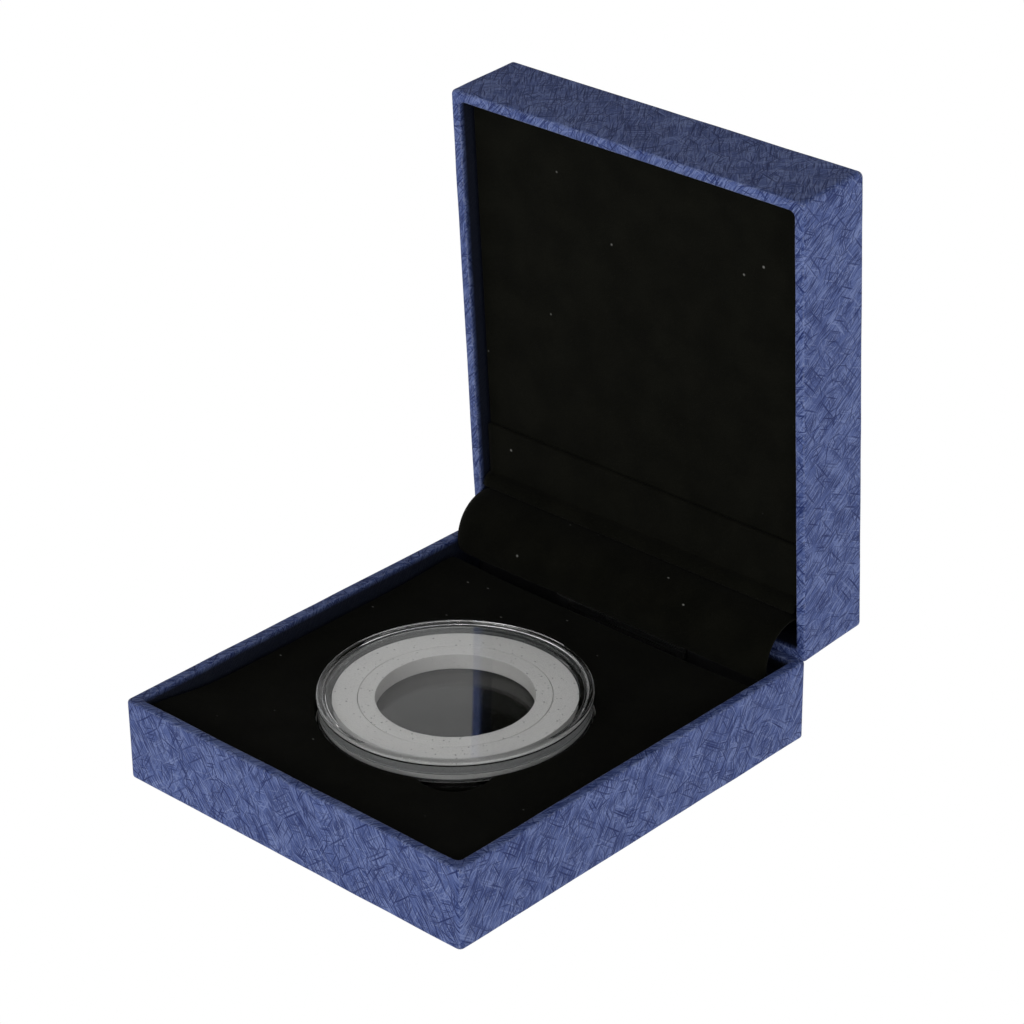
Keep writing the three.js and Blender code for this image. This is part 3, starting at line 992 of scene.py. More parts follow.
@dataclass
class Tray:
    """The paper over one half of the case, round its moulded shell."""

    half: str
    place: Matrix
    underlap: float | None
    seed: float
    wall: float = 2.2 * MM
    paper: float = 0.28 * MM
    turn_in: float = 11 * MM
    back_turn_in: float = 6 * MM
    upright_radius: float = 1.1 * MM
    edge_radius: float = 0.95 * MM
    mouth_radius: float = 0.5 * MM
    slice_step: float = 3.2 * MM
    sag: float = 0.07 * MM
    sag_run: float = 9 * MM
    # Depth below the rim over which the painted shade inside the mouth grows to full strength.
    recess_shade_depth: float = 1.2 * MM
    rub_width: float = 0.45
    # Strength of the painted highlight along the mouth's inner lip.
    lip_highlight: float = 0.8
    corner_rub: float = 1.8

    def __post_init__(self) -> None:
        """Reads the tray's corners, in its own frame."""
        self.low, self.high = box_in(self.place, f"{self.half}_wrap")

    def build(self) -> BMesh:
        """Returns the paper as one skin, standing open side up in the tray's own frame."""
        low, high = self.low, self.high
        bm = slab(low, high)
        top = max(bm.faces, key=lambda f: f.calc_center_median().z)
        bottom = min(bm.faces, key=lambda f: f.calc_center_median().z)
        bmesh.ops.inset_region(bm, faces=[top], thickness=self.wall, use_even_offset=True)
        made = bmesh.ops.extrude_face_region(bm, geom=[top])["geom"]
        floor = [g for g in made if isinstance(g, BMFace)]
        moved = [g for g in made if isinstance(g, BMVert)]
        bmesh.ops.translate(bm, vec=(0, 0, -self.turn_in), verts=moved)
        bmesh.ops.delete(bm, geom=floor, context="FACES_ONLY")
        if top.is_valid:
            bmesh.ops.delete(bm, geom=[top], context="FACES_ONLY")
        if self.underlap is not None:
            bmesh.ops.inset_region(bm, faces=[bottom], thickness=self.underlap)
            bmesh.ops.delete(bm, geom=[bottom], context="FACES_ONLY")
        self.round_edges(bm)
        for axis in Axis:
            ends = (low[axis.value], high[axis.value])
            sliced(bm, axis, *ends, self.slice_step, self.upright_radius + 0.2 * MM)
        boxed_uv(bm)
        self.mark_wear_highlight_and_shade(bm)
        hidden = []
        for face in bm.faces:
            p = face.calc_center_median()
            below = p.z < high.z - self.back_turn_in
            if below and face.normal.y < -0.9 and p.y > high.y - 2 * self.wall:
                hidden.append(face)
        bmesh.ops.delete(bm, geom=hidden, context="FACES")
        wavered(bm, self.sag, self.sag_run, self.seed)
        for v in bm.verts:
            v.co = [min(max(c, a), b) for c, a, b in zip(v.co, low, high)]
        return bm

    def reach(self, point: Vector) -> float:
        """Returns how far a point lies inside the tray's outer sides."""
        return min(min(point[i] - self.low[i], self.high[i] - point[i]) for i in (0, 1))

    def round_edges(self, bm: BMesh) -> None:
        """Rounds the upright corners, the outer edges and the mouth.

        Args:
            bm: The paper with square edges.
        """

        def rim_edges(z: float, outer: bool) -> list[BMEdge]:
            """Returns the folded edges at a height, round the outside or the mouth.

            Args:
                z: The height of the rim.
                outer: Whether it is the outside that is wanted.

            Returns:
                The edges.
            """
            found = []
            for e in bm.edges:
                side = self.reach((e.verts[0].co + e.verts[1].co) / 2)
                level = all(abs(v.co.z - z) < 10 * TINY for v in e.verts)
                folded = not e.is_boundary and e.calc_face_angle(0) > math.radians(60)
                if level and folded and (side < self.wall / 2) == outer:
                    found.append(e)
            return found

        bevelled(bm, upright_edges(bm), self.upright_radius, 6)
        bm.normal_update()
        outer_rims = rim_edges(self.high.z, True) + rim_edges(self.low.z, True)
        bevelled(bm, outer_rims, self.edge_radius, 5)
        bm.normal_update()
        bevelled(bm, rim_edges(self.high.z, False), self.mouth_radius, 4)

    def mark_wear_highlight_and_shade(self, bm: BMesh) -> None:
        """Writes the rubbing at each point, with a painted highlight along the mouth's inner lip,
        and how far inside the mouth it lies, which sets the painted shade there.

        Args:
            bm: The paper.
        """
        low, high = self.low, self.high
        layer = bm.verts.layers.float.new("rubbed_and_lip_highlight")
        inner = bm.verts.layers.float.new("inside")
        for v in bm.verts:
            sides = sorted(
                min(v.co[i] - low[i], high[i] - v.co[i]) / self.edge_radius for i in range(3)
            )
            edge = max(0.0, 1 - sides[1] / self.rub_width)
            reach = self.reach(v.co)
            lip = abs(reach - self.wall + 0.35 * self.mouth_radius) / (0.5 * self.mouth_radius)
            drop = (high.z - v.co.z) / self.mouth_radius
            # Painted highlight along the inner lip of the mouth, written into the same value as the
            # rubbing.
            if drop < 0.5:
                edge = max(edge, self.lip_highlight * max(0.0, 1 - lip))
            v[layer] = max(edge, self.corner_rub * (1 - sides[2]))
            # How far below the rim a point inside the mouth lies, for the painted shade there.
            walled_in = reach > 0.8 * self.wall and v.co.z > low.z + self.wall
            v[inner] = min(1.0, (high.z - v.co.z) / self.recess_shade_depth) if walled_in else 0.0

    def dress(self, paper: Material, shell: Material) -> None:
        """Makes the piece, puts it on its body and gives the moulded shell its finish.

        Args:
            paper: The covering paper.
            shell: The moulded shell's finish.
        """
        name = f"{self.half}_covering_paper"
        obj = walled(finished(name, self.build(), paper, self.place, 32), self.paper)
        attached(obj, self.half, "blue_paper", f"{self.half}_wrap")
        dress_nodes(shell, f"{self.half}_shell")
        log.info("%s covers %s", obj.name, f"{self.half}_shell")


@dataclass
class FootSheet:
    """The flocked sheet glued under the base."""

    corner: float = 2 * MM
    edge: float = 0.1 * MM

    def dress(self, flock: Material) -> None:
        """Makes the sheet and puts it on the base.

        Args:
            flock: The sheet's finish.
        """
        low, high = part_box("base_foot_sheet")
        bm = slab(low, high)
        bevelled(bm, upright_edges(bm), self.corner, 6)
        foot = [e for e in level_edges(bm) if e.verts[0].co.z < low.z + TINY]
        bevelled(bm, foot, self.edge, 2)
        sheet = finished("base_flocked_sheet", bm, flock)
        attached(sheet, "base", "foot_paper", "base_foot_sheet")


# ---- The velvet pad in the base ----


@dataclass
class PadField:
    """The level field of a velvet pad, inside its rolled edges."""

    low: Vector
    high: Vector
    radius: float
    cell: float

    def __post_init__(self) -> None:
        """Works out the field's corners and middle."""
        inset = Vector((self.radius, self.radius, 0))
        self.inner_low, self.inner_high = self.low + inset, self.high - inset
        self.centre = (self.inner_low + self.inner_high) / 2

    def grid(self) -> BMesh:
        """Returns the field as a grid at the pad's top."""
        size = self.inner_high - self.inner_low
        counts = [round(size.x / self.cell), round(size.y / self.cell)]
        bm = bmesh.new()
        bmesh.ops.create_grid(bm, x_segments=counts[0], y_segments=counts[1], size=0.5)
        bmesh.ops.scale(bm, vec=(size.x, size.y, 1), verts=bm.verts)
        top = Vector((self.centre.x, self.centre.y, self.high.z))
        bmesh.ops.translate(bm, vec=top, verts=bm.verts)
        return bm

    def outwards(self, point: Vector) -> Vector:
        """Returns the level direction off the pad at a point of its rim, or zero inside it.

        Args:
            point: A point of the grid.

        Returns:
            The direction.
        """
        way = Vector((0, 0, 0))
        for i in (0, 1):
            reach = min(point[i] - self.inner_low[i], self.inner_high[i] - point[i])
            if reach < 1e-5:
                way[i] = math.copysign(1, point[i] - self.centre[i])
        return way.normalized()

    def roll_rim(self, bm: BMesh) -> None:
        """Rolls the rim of the grid over and runs it down to the pad's foot.

        Args:
            bm: The grid.
        """
        level = self.high.z - TINY
        rim = open_edges(bm, lambda p: self.outwards(p).length > 0.5 and p.z > level)
        rolled(bm, rim, self.outwards, self.radius, self.high.z - self.low.z, 4)
        outward(bm)


@dataclass
class BasePad:
    """The velvet-covered pad with the well for the capsule and its finger notch."""

    cell: float = 1.0 * MM
    edge_radius: float = 1.2 * MM
    well_lip: float = 0.35 * MM
    well_fit: float = 0.3 * MM
    notch_radius: float = 7 * MM
    notch_reach: float = 4.4 * MM
    notch_deg: float = -47
    velvet: float = 0.5 * MM
    curl_reach: float = 11 * MM
    front_curls: tuple = (2.3 * MM, 1.5 * MM)
    back_curls: tuple = (0.7 * MM, 0.6 * MM)
    waves: tuple = ((13 * MM, 0.12 * MM), (4 * MM, 0.05 * MM))

    def __post_init__(self) -> None:
        """Reads the pad's place and the capsule's size."""
        self.low, self.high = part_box("pad_velvet")
        cover_low, cover_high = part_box("capsule_cover")
        self.middle = (cover_low + cover_high) / 2
        self.middle.z = 0
        self.capsule_radius = (cover_high.x - cover_low.x) / 2
        self.well_radius = self.capsule_radius + self.well_fit
        away = self.capsule_radius + self.notch_reach - self.notch_radius
        turn = math.radians(self.notch_deg)
        self.notch = self.middle + Vector((math.cos(turn), math.sin(turn), 0)) * away

    def well_way(self, point: Vector) -> tuple[float, Vector]:
        """Measures a point from the wall of the well.

        Args:
            point: A point in the row frame.

        Returns:
            How far it lies outside the well, and the level direction away from the well.
        """
        found = []
        for centre, radius in ((self.middle, self.well_radius), (self.notch, self.notch_radius)):
            way = Vector((point.x - centre.x, point.y - centre.y, 0))
            found.append((way.length - radius, way.normalized()))
        return min(found, key=lambda f: f[0])

    def curl(self, point: Vector) -> float:
        """Returns how far a point is lifted where the pad's corners stand up from the board.

        Args:
            point: A point in the row frame.

        Returns:
            The lift, upwards.
        """
        lift = 0.0
        for y, curls in ((self.low.y, self.front_curls), (self.high.y, self.back_curls)):
            for x, height in zip((self.low.x, self.high.x), curls):
                far = math.hypot(point.x - x, point.y - y) / self.curl_reach
                lift = max(lift, height * math.exp(-far * far))
        return lift

    def build(self) -> BMesh:
        """Returns the velvet skin with rolled edges, the well cut out and the corners curled."""
        field = PadField(self.low, self.high, self.edge_radius, self.cell)
        bm = field.grid()
        clear = self.well_lip + 0.5 * self.cell
        hole = [f for f in bm.faces if self.well_way(f.calc_center_median())[0] < clear]
        bmesh.ops.delete(bm, geom=hole, context="FACES")

        def by_well(p: Vector) -> bool:
            """Says whether a point lies near the well."""
            return self.well_way(p)[0] < 4 * self.cell

        edge = open_edges(bm, by_well)
        for v in {v for e in edge for v in e.verts}:
            far, way = self.well_way(v.co)
            v.co -= way * (far - self.well_lip)
        near = [v for v in bm.verts if by_well(v.co) and not v.is_boundary]
        for _ in range(3):
            bmesh.ops.smooth_vert(
                bm, verts=near, factor=0.5, use_axis_x=True, use_axis_y=True, use_axis_z=False
            )
        depth = self.high.z - self.low.z
        rolled(bm, edge, lambda p: -self.well_way(p)[1], self.well_lip, depth, 3)
        field.roll_rim(bm)
        self.soften(bm)
        return bm

    def soften(self, bm: BMesh) -> None:
        """Curls the corners, crowns the field a little and lets the velvet waver.

        Args:
            bm: The velvet.
        """
        for v in bm.verts:
            share = (v.co.z - self.low.z) / (self.high.z - self.low.z)
            far, _ = self.well_way(v.co)
            v.co.z += self.curl(v.co) * share
            if far > 2 * MM and share > 0.9:
                v.co.z += ripple(v.co, self.waves)

    def dress(self, velvet: Material) -> None:
        """Makes the pad and puts it on its body.

        Args:
            velvet: The velvet.
        """
        skin = finished("pad_velvet_cover", self.build(), velvet, sharp=80)
        walled(rounded(skin), self.velvet)
        attached(skin, "base_pad", "black_velvet", "pad_velvet")
        log.info("%s has a well %.1f mm wide", skin.name, 2 * self.well_radius / MM)


@dataclass
class SoftBlock:
    """A block of foam that isn't quite flat anywhere."""

    name: str
    node: str
    body: str
    seed: float
    place: Matrix
    corner: float = 1.1 * MM
    edge: float = 0.5 * MM
    waver: float = 0.12 * MM
    waver_run: float = 7 * MM
    step: float = 4 * MM

    def dress(self, material: Material) -> None:
        """Makes the block, puts it on its body and says how full it is.

        Args:
            material: The foam.
        """
        low, high = box_in(self.place, self.node)
        bm = slab(low, high)
        bevelled(bm, upright_edges(bm), self.corner, 4)
        bevelled(bm, level_edges(bm), self.edge, 3)
        for axis in Axis:
            margin = 1.4 * self.edge if axis is Axis.Z else 1.3 * MM
            sliced(bm, axis, low[axis.value], high[axis.value], self.step, margin)
        wavered(bm, self.waver, self.waver_run, self.seed)
        obj = finished(self.name, bm, material, self.place, 50)
        attached(obj, self.body, "riser_foam", self.node)
        log.info("%s fills %.1f mm", obj.name, (high.z - low.z) / MM)


@dataclass
class WellDisc:
    """The flocked disc that lines the bottom of the well."""

    steps: int = 96
    rings: int = 8
    edge: float = 0.2 * MM
    dips: tuple = ((6 * MM, 0.05 * MM),)

    def dress(self, velvet: Material) -> None:
        """Makes the disc and puts it on the pad.

        Args:
            velvet: The velvet.
        """
        low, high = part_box("recess_disc")
        middle = (low + high) / 2
        radius = (high.x - low.x) / 2
        outline = [(0, low.z), (radius, low.z), (radius, high.z)]
        outline += [(radius * i / self.rings, high.z) for i in range(self.rings - 1, -1, -1)]
        bm = turned(outline, self.steps)
        bevelled(bm, ring_edges(bm, 60), self.edge, 3)
        for v in bm.verts:
            if v.co.z > high.z - TINY:
                v.co.z -= abs(ripple(v.co, self.dips))
        place = Matrix.Translation((middle.x, middle.y, 0))
        disc = finished("well_velvet_disc", bm, velvet, place)
        attached(disc, "base_pad", "black_velvet", "recess_disc")
        log.info("%s is %.1f mm wide", disc.name, 2 * radius / MM)


# ---- The velvet pad in the lid ----


@dataclass
class LidPad:
    """The velvet-covered pad in the lid and the strip of velvet over its hinge end."""

    place: Matrix
    cell: float = 1.3 * MM
    edge_radius: float = 1.1 * MM
    velvet: float = 0.5 * MM
    strip: float = 0.34 * MM
    neck_clear: float = 0.06 * MM
    tail_deg: float = 2
    bulge: float = 2.2 * MM
    strip_columns: int = 40
    strip_rows: int = 10
    strip_sink: float = 0.12 * MM
    waves: tuple = ((17 * MM, 0.10 * MM), (5 * MM, 0.04 * MM))
    settle: float = 0.10 * MM

    def build(self) -> BMesh:
        """Returns the pad's velvet, face up in the lid's own frame."""
        low, high = box_in(self.place, "lid_velvet")
        field = PadField(low, high, self.edge_radius, self.cell)
        bm = field.grid()
        field.roll_rim(bm)
        for v in bm.verts:
            if v.co.z > high.z - TINY:
                v.co.z += ripple(v.co, self.waves) - self.settle
        return bm

    def strip_line(self) -> list[Vector]:
        """Returns the strip's outline across the hinge, from its upper edge to the neck.

        The points are in the lid's own frame, at the strip's outer face.
        """
        axis = self.place.inverted() @ hinge_point()
        low, high = box_in(self.place, "lid_apron")
        face = high.z - self.strip_sink
        edge_of_pad = axis.y - box_in(self.place, "lid_velvet")[1].y
        radius = neck_radius() + self.strip + self.neck_clear
        behind = axis.z - face
        start = edge_of_pad + self.bulge
        runs = even(axis.y - low.y, start, self.strip_rows)
        points = [Vector((0, axis.y - run, face)) for run in runs]
        tail = radius * math.sin(math.radians(self.tail_deg))
        for turn in even(0, math.pi / 2, self.strip_rows)[1:]:
            out = radius + (start - radius) * math.cos(turn)
            back = behind - (behind - tail) * math.sin(turn)
            points.append(Vector((0, axis.y - out, axis.z - back)))
        return points

    def build_strip(self) -> tuple[BMesh, tuple[float, float]]:
        """Returns the strip of velvet and the size it was cut to."""
        low, high = box_in(self.place, "lid_apron")
        line = self.strip_line()
        length = sum((b - a).length for a, b in zip(line, line[1:]))
        bm = swept(line, low.x, high.x - low.x, self.strip_columns)
        if sum(f.normal.z for f in bm.faces) < 0:
            bmesh.ops.reverse_faces(bm, faces=bm.faces)
        return bm, (high.x - low.x, length)

    def dress(self, velvet: Material, board: Material) -> None:
        """Makes the pad and the strip and puts them on the lid's pad.

        Args:
            velvet: The velvet of both.
            board: The finish of the board under them.
        """
        skin = finished("lid_velvet_cover", self.build(), velvet, self.place, 80)
        walled(rounded(skin), self.velvet)
        attached(skin, "lid_pad", "black_velvet", "lid_velvet")
        bm, cut = self.build_strip()
        strip = walled(rounded(finished("lid_velvet_strip", bm, velvet, self.place, 80)), self.strip)
        attached(strip, "lid_pad", "black_velvet", "lid_apron")
        dress_nodes(board, "lid_board")
        log.info("%s is %.1f mm long", strip.name, cut[1] / MM)


# ---- The hinge ----


@dataclass
class Neck:
    """The velvet over the curved neck, and the steel parts that carry it."""

    rows: int = 44
    columns: int = 40
    velvet: float = 0.55 * MM
    plump: float = 0.12 * MM
    plump_run: float = 9 * MM
    end_drop: float = 0.55 * MM
    end_from: float = 0.975

    def dress(self, velvet: Material, steel: Material) -> None:
        """Makes the velvet and gives the steel parts their finish.

        Args:
            velvet: The velvet.
            steel: The finish of the plate, springs and keepers.
        """
        centre = hinge_point()
        low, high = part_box("neck_velvet")
        radius = neck_radius()
        nodes = frame["nodes"]["neck_velvet"].data.vertices
        turns = [math.atan2(v.co.z - centre.z, v.co.y - centre.y) % FULL_TURN for v in nodes]
        start, end = min(turns), max(turns)
        bm = bmesh.new()
        width = high.x - low.x
        first = centre + Vector((0, math.cos(start), math.sin(start))) * radius
        places = even(low.x, low.x + width, self.columns)
        verts = [bm.verts.new(first + Vector((x, 0, 0))) for x in places]
        edges = [bm.edges.new(pair) for pair in zip(verts, verts[1:])]
        bmesh.ops.spin(
            bm,
            geom=[*verts, *edges],
            cent=centre,
            axis=(1, 0, 0),
            angle=end - start,
            steps=self.rows,
            use_merge=False,
        )
        outward(bm)
        middle = next(f for f in bm.faces if abs(f.calc_center_median().x) < width / 10)
        away = middle.calc_center_median() - centre
        if middle.normal.dot(Vector((0, away.y, away.z))) < 0:
            bmesh.ops.reverse_faces(bm, faces=bm.faces)
        for v in bm.verts:
            way = Vector((0, v.co.y - centre.y, v.co.z - centre.z)).normalized()
            end_share = abs(v.co.x - centre.x) / (width / 2)
            past = max(0.0, (end_share - self.end_from) / (1 - self.end_from))
            drop = self.end_drop * past**2
            wave = noise.noise(v.co / self.plump_run) * self.plump
            v.co += way * (wave - self.plump - drop)
        cloth = walled(rounded(finished("neck_velvet_cover", bm, velvet, sharp=80)), self.velvet)
        attached(cloth, "neck", "black_velvet", "neck_velvet")
        dress_nodes(steel, "neck_plate", "snap_spring_left", "snap_spring_right")
        dress_nodes(steel, "neck_keeper_base", "neck_keeper_lid")
        log.info("%s turns through %.0f degrees", cloth.name, math.degrees(end - start))


@dataclass
class HingeCover:
    """The strip of book cloth that joins the two backs, and folds as the lid turns."""

    thick: float = 0.28 * MM
    tuck: float = 1.1 * MM
    columns: int = 32
    leaf_steps: int = 8
    fold_steps: int = 8

    def line(self) -> list[Vector]:
        """Returns the strip's outline across the hinge, from the base's foot to the lid's end."""
        low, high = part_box("joint_cloth_base")
        turn = lid_turn()
        shut_low, shut_high = box_in(turn, "joint_cloth_lid")
        lid_heights = even(shut_low.z, shut_high.z, self.leaf_steps)
        points = [Vector((0, high.y, z)) for z in even(low.z, high.z, self.leaf_steps)]
        lid_part = [turn @ Vector((0, high.y, z)) for z in lid_heights]
        a, b = points[-1], lid_part[0]
        inward = (hinge_point() - (a + b) / 2).normalized()
        inward.x = 0
        fold = []
        for share in even(0, 1, self.fold_steps)[1:-1]:
            fold.append(a.lerp(b, share) + inward * self.tuck * math.sin(math.pi * share))
        return [*points, *fold, *lid_part]

    def dress(self, cloth: Material) -> None:
        """Makes the strip, folded as it lies at rest between the two bodies.

        Args:
            cloth: The book cloth.
        """
        low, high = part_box("joint_cloth_base")
        line = self.line()
        run = [0.0, *accumulate((b - a).length for a, b in zip(line, line[1:]))]
        width = high.x - low.x
        bm = swept(line, low.x, width, self.columns)
        layer = bm.loops.layers.uv.new("wrap")
        lowest = min(bm.faces, key=lambda f: f.calc_center_median().z)
        if lowest.normal.y < 0:
            bmesh.ops.reverse_faces(bm, faces=bm.faces)
        for face in bm.faces:
            for loop in face.loops:
                p = loop.vert.co
                nearest = min(
                    range(len(line)), key=lambda i: (line[i].y - p.y) ** 2 + (line[i].z - p.z) ** 2
                )
                loop[layer].uv = (p.x * 10, run[nearest] * 10)
        strip = finished("hinge_cloth_strip", bm, cloth, sharp=80)
        walled(strip, self.thick)
        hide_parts("joint_cloth_base", "joint_cloth_lid")
        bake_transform(strip)
        log.info("%s is %.1f mm tall", strip.name, run[-1] / MM)


# ---- The capsule ----


@dataclass
class Capsule:
    """The two clear shells and the two foam rings between them."""

    steps: int = 144
    plate: float = 1.0 * MM
    cover_plate: float = 0.45 * MM
    bead: float = 0.55 * MM
    bead_width: float = 1.3 * MM
    flange: float = 1.15 * MM
    parting: float = 0.1 * MM
    room: float = 0.1 * MM
    inner_wall: float = 1.0 * MM
    outer_wall: float = 0.8 * MM
    foot: float = 0.3 * MM
    foam_fit: float = 0.1 * MM
    skirt_height: float = 2.3 * MM
    base_ease: float = 0.12 * MM
    cover_ease: float = 0.14 * MM
    cut_edge: float = 0.07 * MM
    cut_step: float = 0.8 * MM
    cut_waver: float = 0.035 * MM
    cut_run: float = 1.6 * MM

    def __post_init__(self) -> None:
        """Reads the capsule's heights and radii from its nodes."""
        self.base_low, self.base_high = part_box("capsule_base")
        self.cover_low, self.cover_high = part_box("capsule_cover")
        self.middle = (self.cover_low + self.cover_high) / 2
        foam_low, foam_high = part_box("foam_ring_outer")
        self.floor = self.base_low.z
        self.top = self.cover_high.z
        self.radius = (self.cover_high.x - self.cover_low.x) / 2
        self.base_radius = (self.base_high.x - self.base_low.x) / 2
        self.inner_radius = (foam_high.x - foam_low.x) / 2 + self.foam_fit

    def shell(
        self, name: str, outline: list[tuple[float, float]], soft: float
    ) -> BMesh:
        """Turns one shell and eases its edges.

        Args:
            name: The shell's name, for the log.
            outline: Radius and height of each corner.
            soft: The radius of its eased edges.

        Returns:
            The closed shell.
        """
        bm = turned(outline, self.steps)
        bevelled(bm, ring_edges(bm, 30), soft, 3)
        bm.normal_update()
        for face in bm.faces:
            p = face.calc_center_median()
            hidden = p.xy.length < self.base_radius - 0.4 * MM
            low = p.z < self.top - self.bead - self.cover_plate - 0.1 * MM
            if hidden and low and abs(face.normal.z) < 0.5:
                face.material_index = 1
        log.info("%s has %d faces", name, len(bm.faces))
        return bm

    def base_outline(self) -> list[tuple[float, float]]:
        """Returns the base shell's outline."""
        outer = self.base_radius
        outer_top = self.top - self.flange - self.parting
        outer_in = outer - self.outer_wall
        plate = self.floor + self.plate
        wall_out = self.inner_radius + self.inner_wall
        wall_top = self.top - self.bead - self.cover_plate - self.room
        return [
            (0, self.floor),
            (outer - self.foot, self.floor),
            (outer, self.floor + self.foot),
            (outer, outer_top),
            (outer_in, outer_top),
            (outer_in, plate),
            (wall_out, plate),
            (wall_out, wall_top),
            (self.inner_radius, wall_top),
            (self.inner_radius, plate),
            (0, plate),
        ]

    def cover_outline(self) -> list[tuple[float, float]]:
        """Returns the cover's outline."""
        face = self.top - self.bead
        under = face - self.cover_plate
        parting = self.top - self.flange
        skirt_out = self.base_radius - self.outer_wall - self.room
        skirt_in = self.inner_radius + self.inner_wall + self.room
        bead_in = self.radius - self.bead_width
        slope = 0.25 * MM
        return [
            (0, under),
            (skirt_in, under),
            (skirt_in, under - self.skirt_height),
            (skirt_out, under - self.skirt_height),
            (skirt_out, parting),
            (self.radius, parting),
            (self.radius, self.top - slope),
            (self.radius - slope, self.top),
            (bead_in + slope, self.top),
            (bead_in, face),
            (0, face),
        ]

    def foam(self, node: str) -> BMesh:
        """Returns one foam ring with crisp, slightly uneven cut edges.

        Args:
            node: The ring's CAD node.

        Returns:
            The closed ring.
        """
        low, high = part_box(node)
        outer = (high.x - low.x) / 2
        points = frame["nodes"][node].data.vertices
        inner = min(math.hypot(v.co.x - self.middle.x, v.co.y - self.middle.y) for v in points)
        outline = [(inner, low.z), (outer, low.z), (outer, high.z), (inner, high.z)]
        bm = turned(outline, self.steps)
        bevelled(bm, ring_edges(bm, 60), self.cut_edge, 2)
        sliced(bm, Axis.Z, low.z, high.z, self.cut_step)
        wavered(bm, self.cut_waver, self.cut_run, outer / MM)
        return bm

    def dress(
        self, clear: Material, nested: Material, foam: Material
    ) -> None:
        """Makes the four pieces and puts each on its body.

        Args:
            clear: The finish of the shells' outer faces.
            nested: The finish of the walls that stand close inside one another.
            foam: The finish of the rings.
        """
        place = Matrix.Translation((self.middle.x, self.middle.y, 0))
        shells = (
            ("capsule_base", "capsule", self.base_outline(), self.base_ease),
            ("capsule_cover", "cover", self.cover_outline(), self.cover_ease),
        )
        for node, body, outline, soft in shells:
            obj = finished(f"{node}_shell", self.shell(node, outline, soft), clear, place, 25)
            obj.data.materials.append(nested)
            attached(obj, body, "clear_plastic", node)
        for node, body in (("foam_ring_outer", "ring_outer"), ("foam_ring_inner", "ring_inner")):
            obj = finished(f"{node}_pad", self.foam(node), foam, place, 50)
            attached(obj, body, "gasket_foam", node)


# ---- Stage, light and camera ----


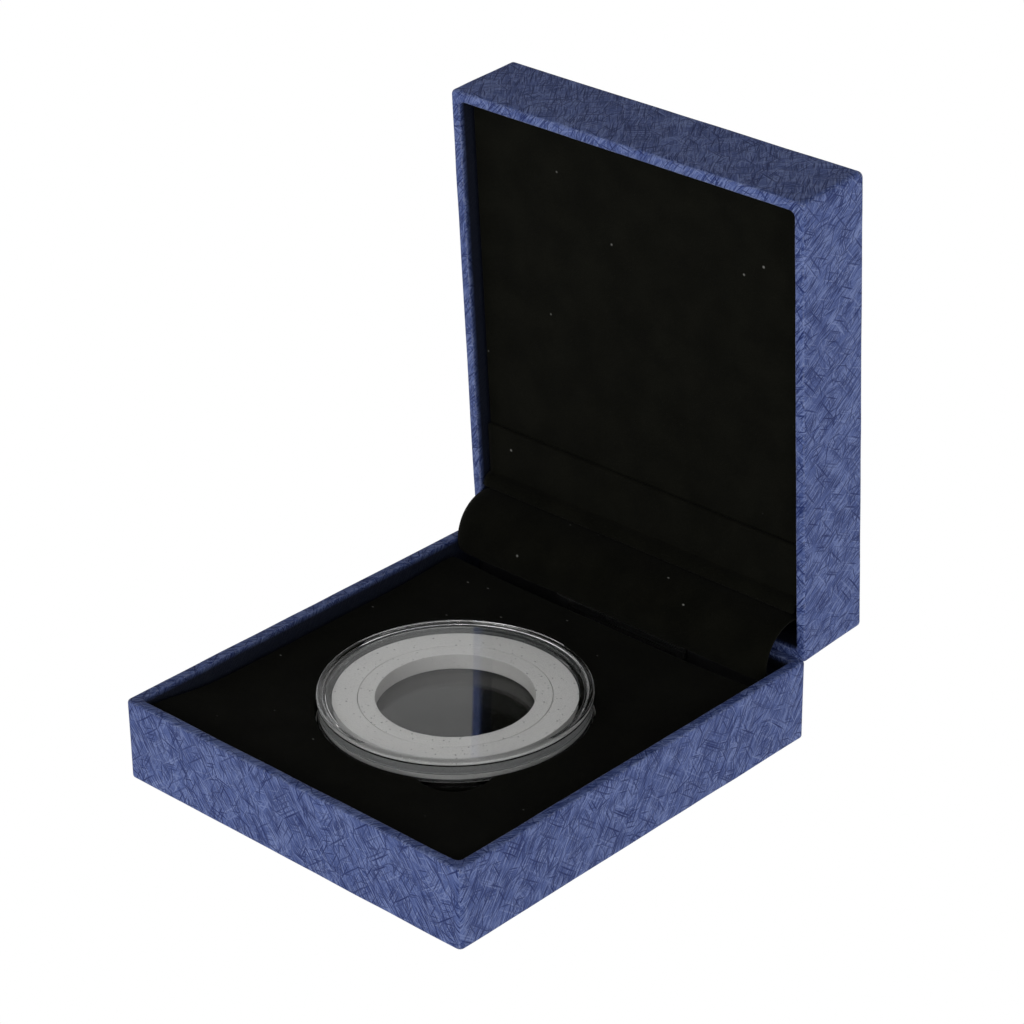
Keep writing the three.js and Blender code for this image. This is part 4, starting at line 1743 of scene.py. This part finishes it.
@dataclass
class Studio:
    """A white table, a light tent and the camera."""

    floor_half: float = 3.0
    target: Vector = Vector((11.485 * MM, 0, 56.616 * MM))
    turn_deg: float = 42.94
    rise_deg: float = 27.86
    roll_deg: float = -0.587
    distance: float = 621.53 * MM
    lens_mm: float = 121.996
    sensor_mm: float = 36
    tent_edge: tuple = (0.10, 0.75)
    tent_light: tuple = (2.0, 0.10)
    tent_lean: tuple = (0.42 * 0.68, -0.42 * 0.73, 0)

    def build_floor(self) -> None:
        """Lays the white table under the case."""
        g = PaintGraph("White_table")
        glow = g.add("ShaderNodeEmission", {"Color": rgb(1, 1, 1), "Strength": 1.0})
        g.surface(glow.outputs[0])
        bm = bmesh.new()
        bmesh.ops.create_grid(bm, x_segments=1, y_segments=1, size=self.floor_half)
        bmesh.ops.translate(bm, vec=(0, 0, CAD_BOX[0][2] - 0.05 * MM), verts=bm.verts)
        floor = finished("table", bm, g.material)

    def build_tent(self) -> None:
        """Lights the case from a tent that is bright at its sides and dimmer overhead."""
        world = bpy.data.worlds.new("Light_tent")
        bpy.context.scene.world = world
        world.use_nodes = True
        g = Graph(world.node_tree)
        way = g.add("ShaderNodeTexCoord", {}).outputs["Generated"]
        height = g.add("ShaderNodeSeparateXYZ", {0: way}).outputs[2]
        fall = g.ramp(height, *self.tent_edge, *self.tent_light)
        lean = g.add("ShaderNodeVectorMath", {0: way, 1: self.tent_lean}, operation="DOT_PRODUCT")
        power = g.times(fall, g.math("ADD", lean.outputs["Value"], 1.0))
        sky = g.add("ShaderNodeBackground", {"Strength": power})
        g.add("ShaderNodeOutputWorld", {"Surface": sky.outputs[0]})

    def add_softbox(
        self, name: str, place: Vector, width: float, height: float, power: float
    ) -> None:
        """Adds an oblong lamp that looks at the case.

        Args:
            name: The lamp's name.
            place: Where it stands.
            width: Its width.
            height: Its height.
            power: Its power in watts.
        """
        lamp = bpy.data.lights.new(name, "AREA")
        lamp.shape = "RECTANGLE"
        lamp.size = width
        lamp.size_y = height
        lamp.energy = power
        obj = bpy.data.objects.new(name, lamp)
        obj.location = place
        obj.rotation_euler = (self.target - place).to_track_quat("-Z", "Y").to_euler()
        bpy.context.scene.collection.objects.link(obj)

    def aim_camera(self) -> None:
        """Stands the camera in front of the case's right corner."""
        turn, rise = math.radians(self.turn_deg), math.radians(self.rise_deg)
        back = Vector(
            (math.sin(turn) * math.cos(rise), -math.cos(turn) * math.cos(rise), math.sin(rise))
        )
        level = Vector((math.cos(turn), math.sin(turn), 0))
        up = back.cross(level)
        roll = math.radians(self.roll_deg)
        right = level * math.cos(roll) + up * math.sin(roll)
        top = up * math.cos(roll) - level * math.sin(roll)
        data = bpy.data.cameras.new("Camera")
        data.lens = self.lens_mm
        data.sensor_width = self.sensor_mm
        data.clip_start = 0.01
        camera = bpy.data.objects.new("Camera", data)
        pose = Matrix((right, top, back)).transposed().to_4x4()
        pose.translation = self.target + back * self.distance
        camera.matrix_world = pose
        bpy.context.scene.collection.objects.link(camera)
        bpy.context.scene.camera = camera

    def build(self) -> None:
        """Builds the whole set."""
        bpy.context.scene.view_settings.view_transform = "Standard"
        self.aim_camera()
        self.build_floor()
        self.build_tent()
        self.add_softbox("Front_softbox", Vector((0.10, -0.80, 0.45)), 0.5, 0.5, 0.8)
        self.add_softbox("Front_strip", Vector((0.15, -0.62, 0.95)), 1.0, 0.020, 1.1)


def write_sizes() -> None:
    """Brings the view layer up to date."""
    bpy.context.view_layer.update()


def main() -> None:
    """Builds each sub-assembly in order."""
    logging.basicConfig(level=logging.INFO, format="%(name)s: %(message)s")
    noise.seed_set(NOISE_SEED)
    Studio().build()
    paper = BluePaper().material()
    shell = MouldedShell().material()
    velvet = BlackVelvet("Black_velvet").material()
    board = GreyBoard().material()
    foam = Foam("Grey_gasket_foam").material()
    riser = Foam("Riser_foam", rgb(0.62, 0.61, 0.58), rgb(0.40, 0.39, 0.37), pore_mm=0.8).material()
    steel = SpringSteel().material()
    upright, in_lid = Matrix.Identity(4), lid_place()
    Tray("base", upright, 12 * MM, 1.3).dress(paper, shell)
    Tray("lid", in_lid, None, 4.1).dress(paper, shell)
    FootSheet().dress(FlockedPaper().material())
    BasePad().dress(velvet)
    WellDisc().dress(velvet)
    dress_nodes(board, "pad_board")
    SoftBlock("pad_riser_foam", "pad_riser", "base_pad", 2.2, upright).dress(riser)
    SoftBlock("lid_sponge_foam", "lid_sponge", "lid_pad", 5.7, in_lid).dress(riser)
    LidPad(in_lid).dress(velvet, board)
    Neck().dress(velvet, steel)
    HingeCover().dress(HingeCloth().material())
    Capsule().dress(ClearPlastic().material(), NestedPlastic().material(), foam)
    write_sizes()


if __name__ == "__main__":
    main()
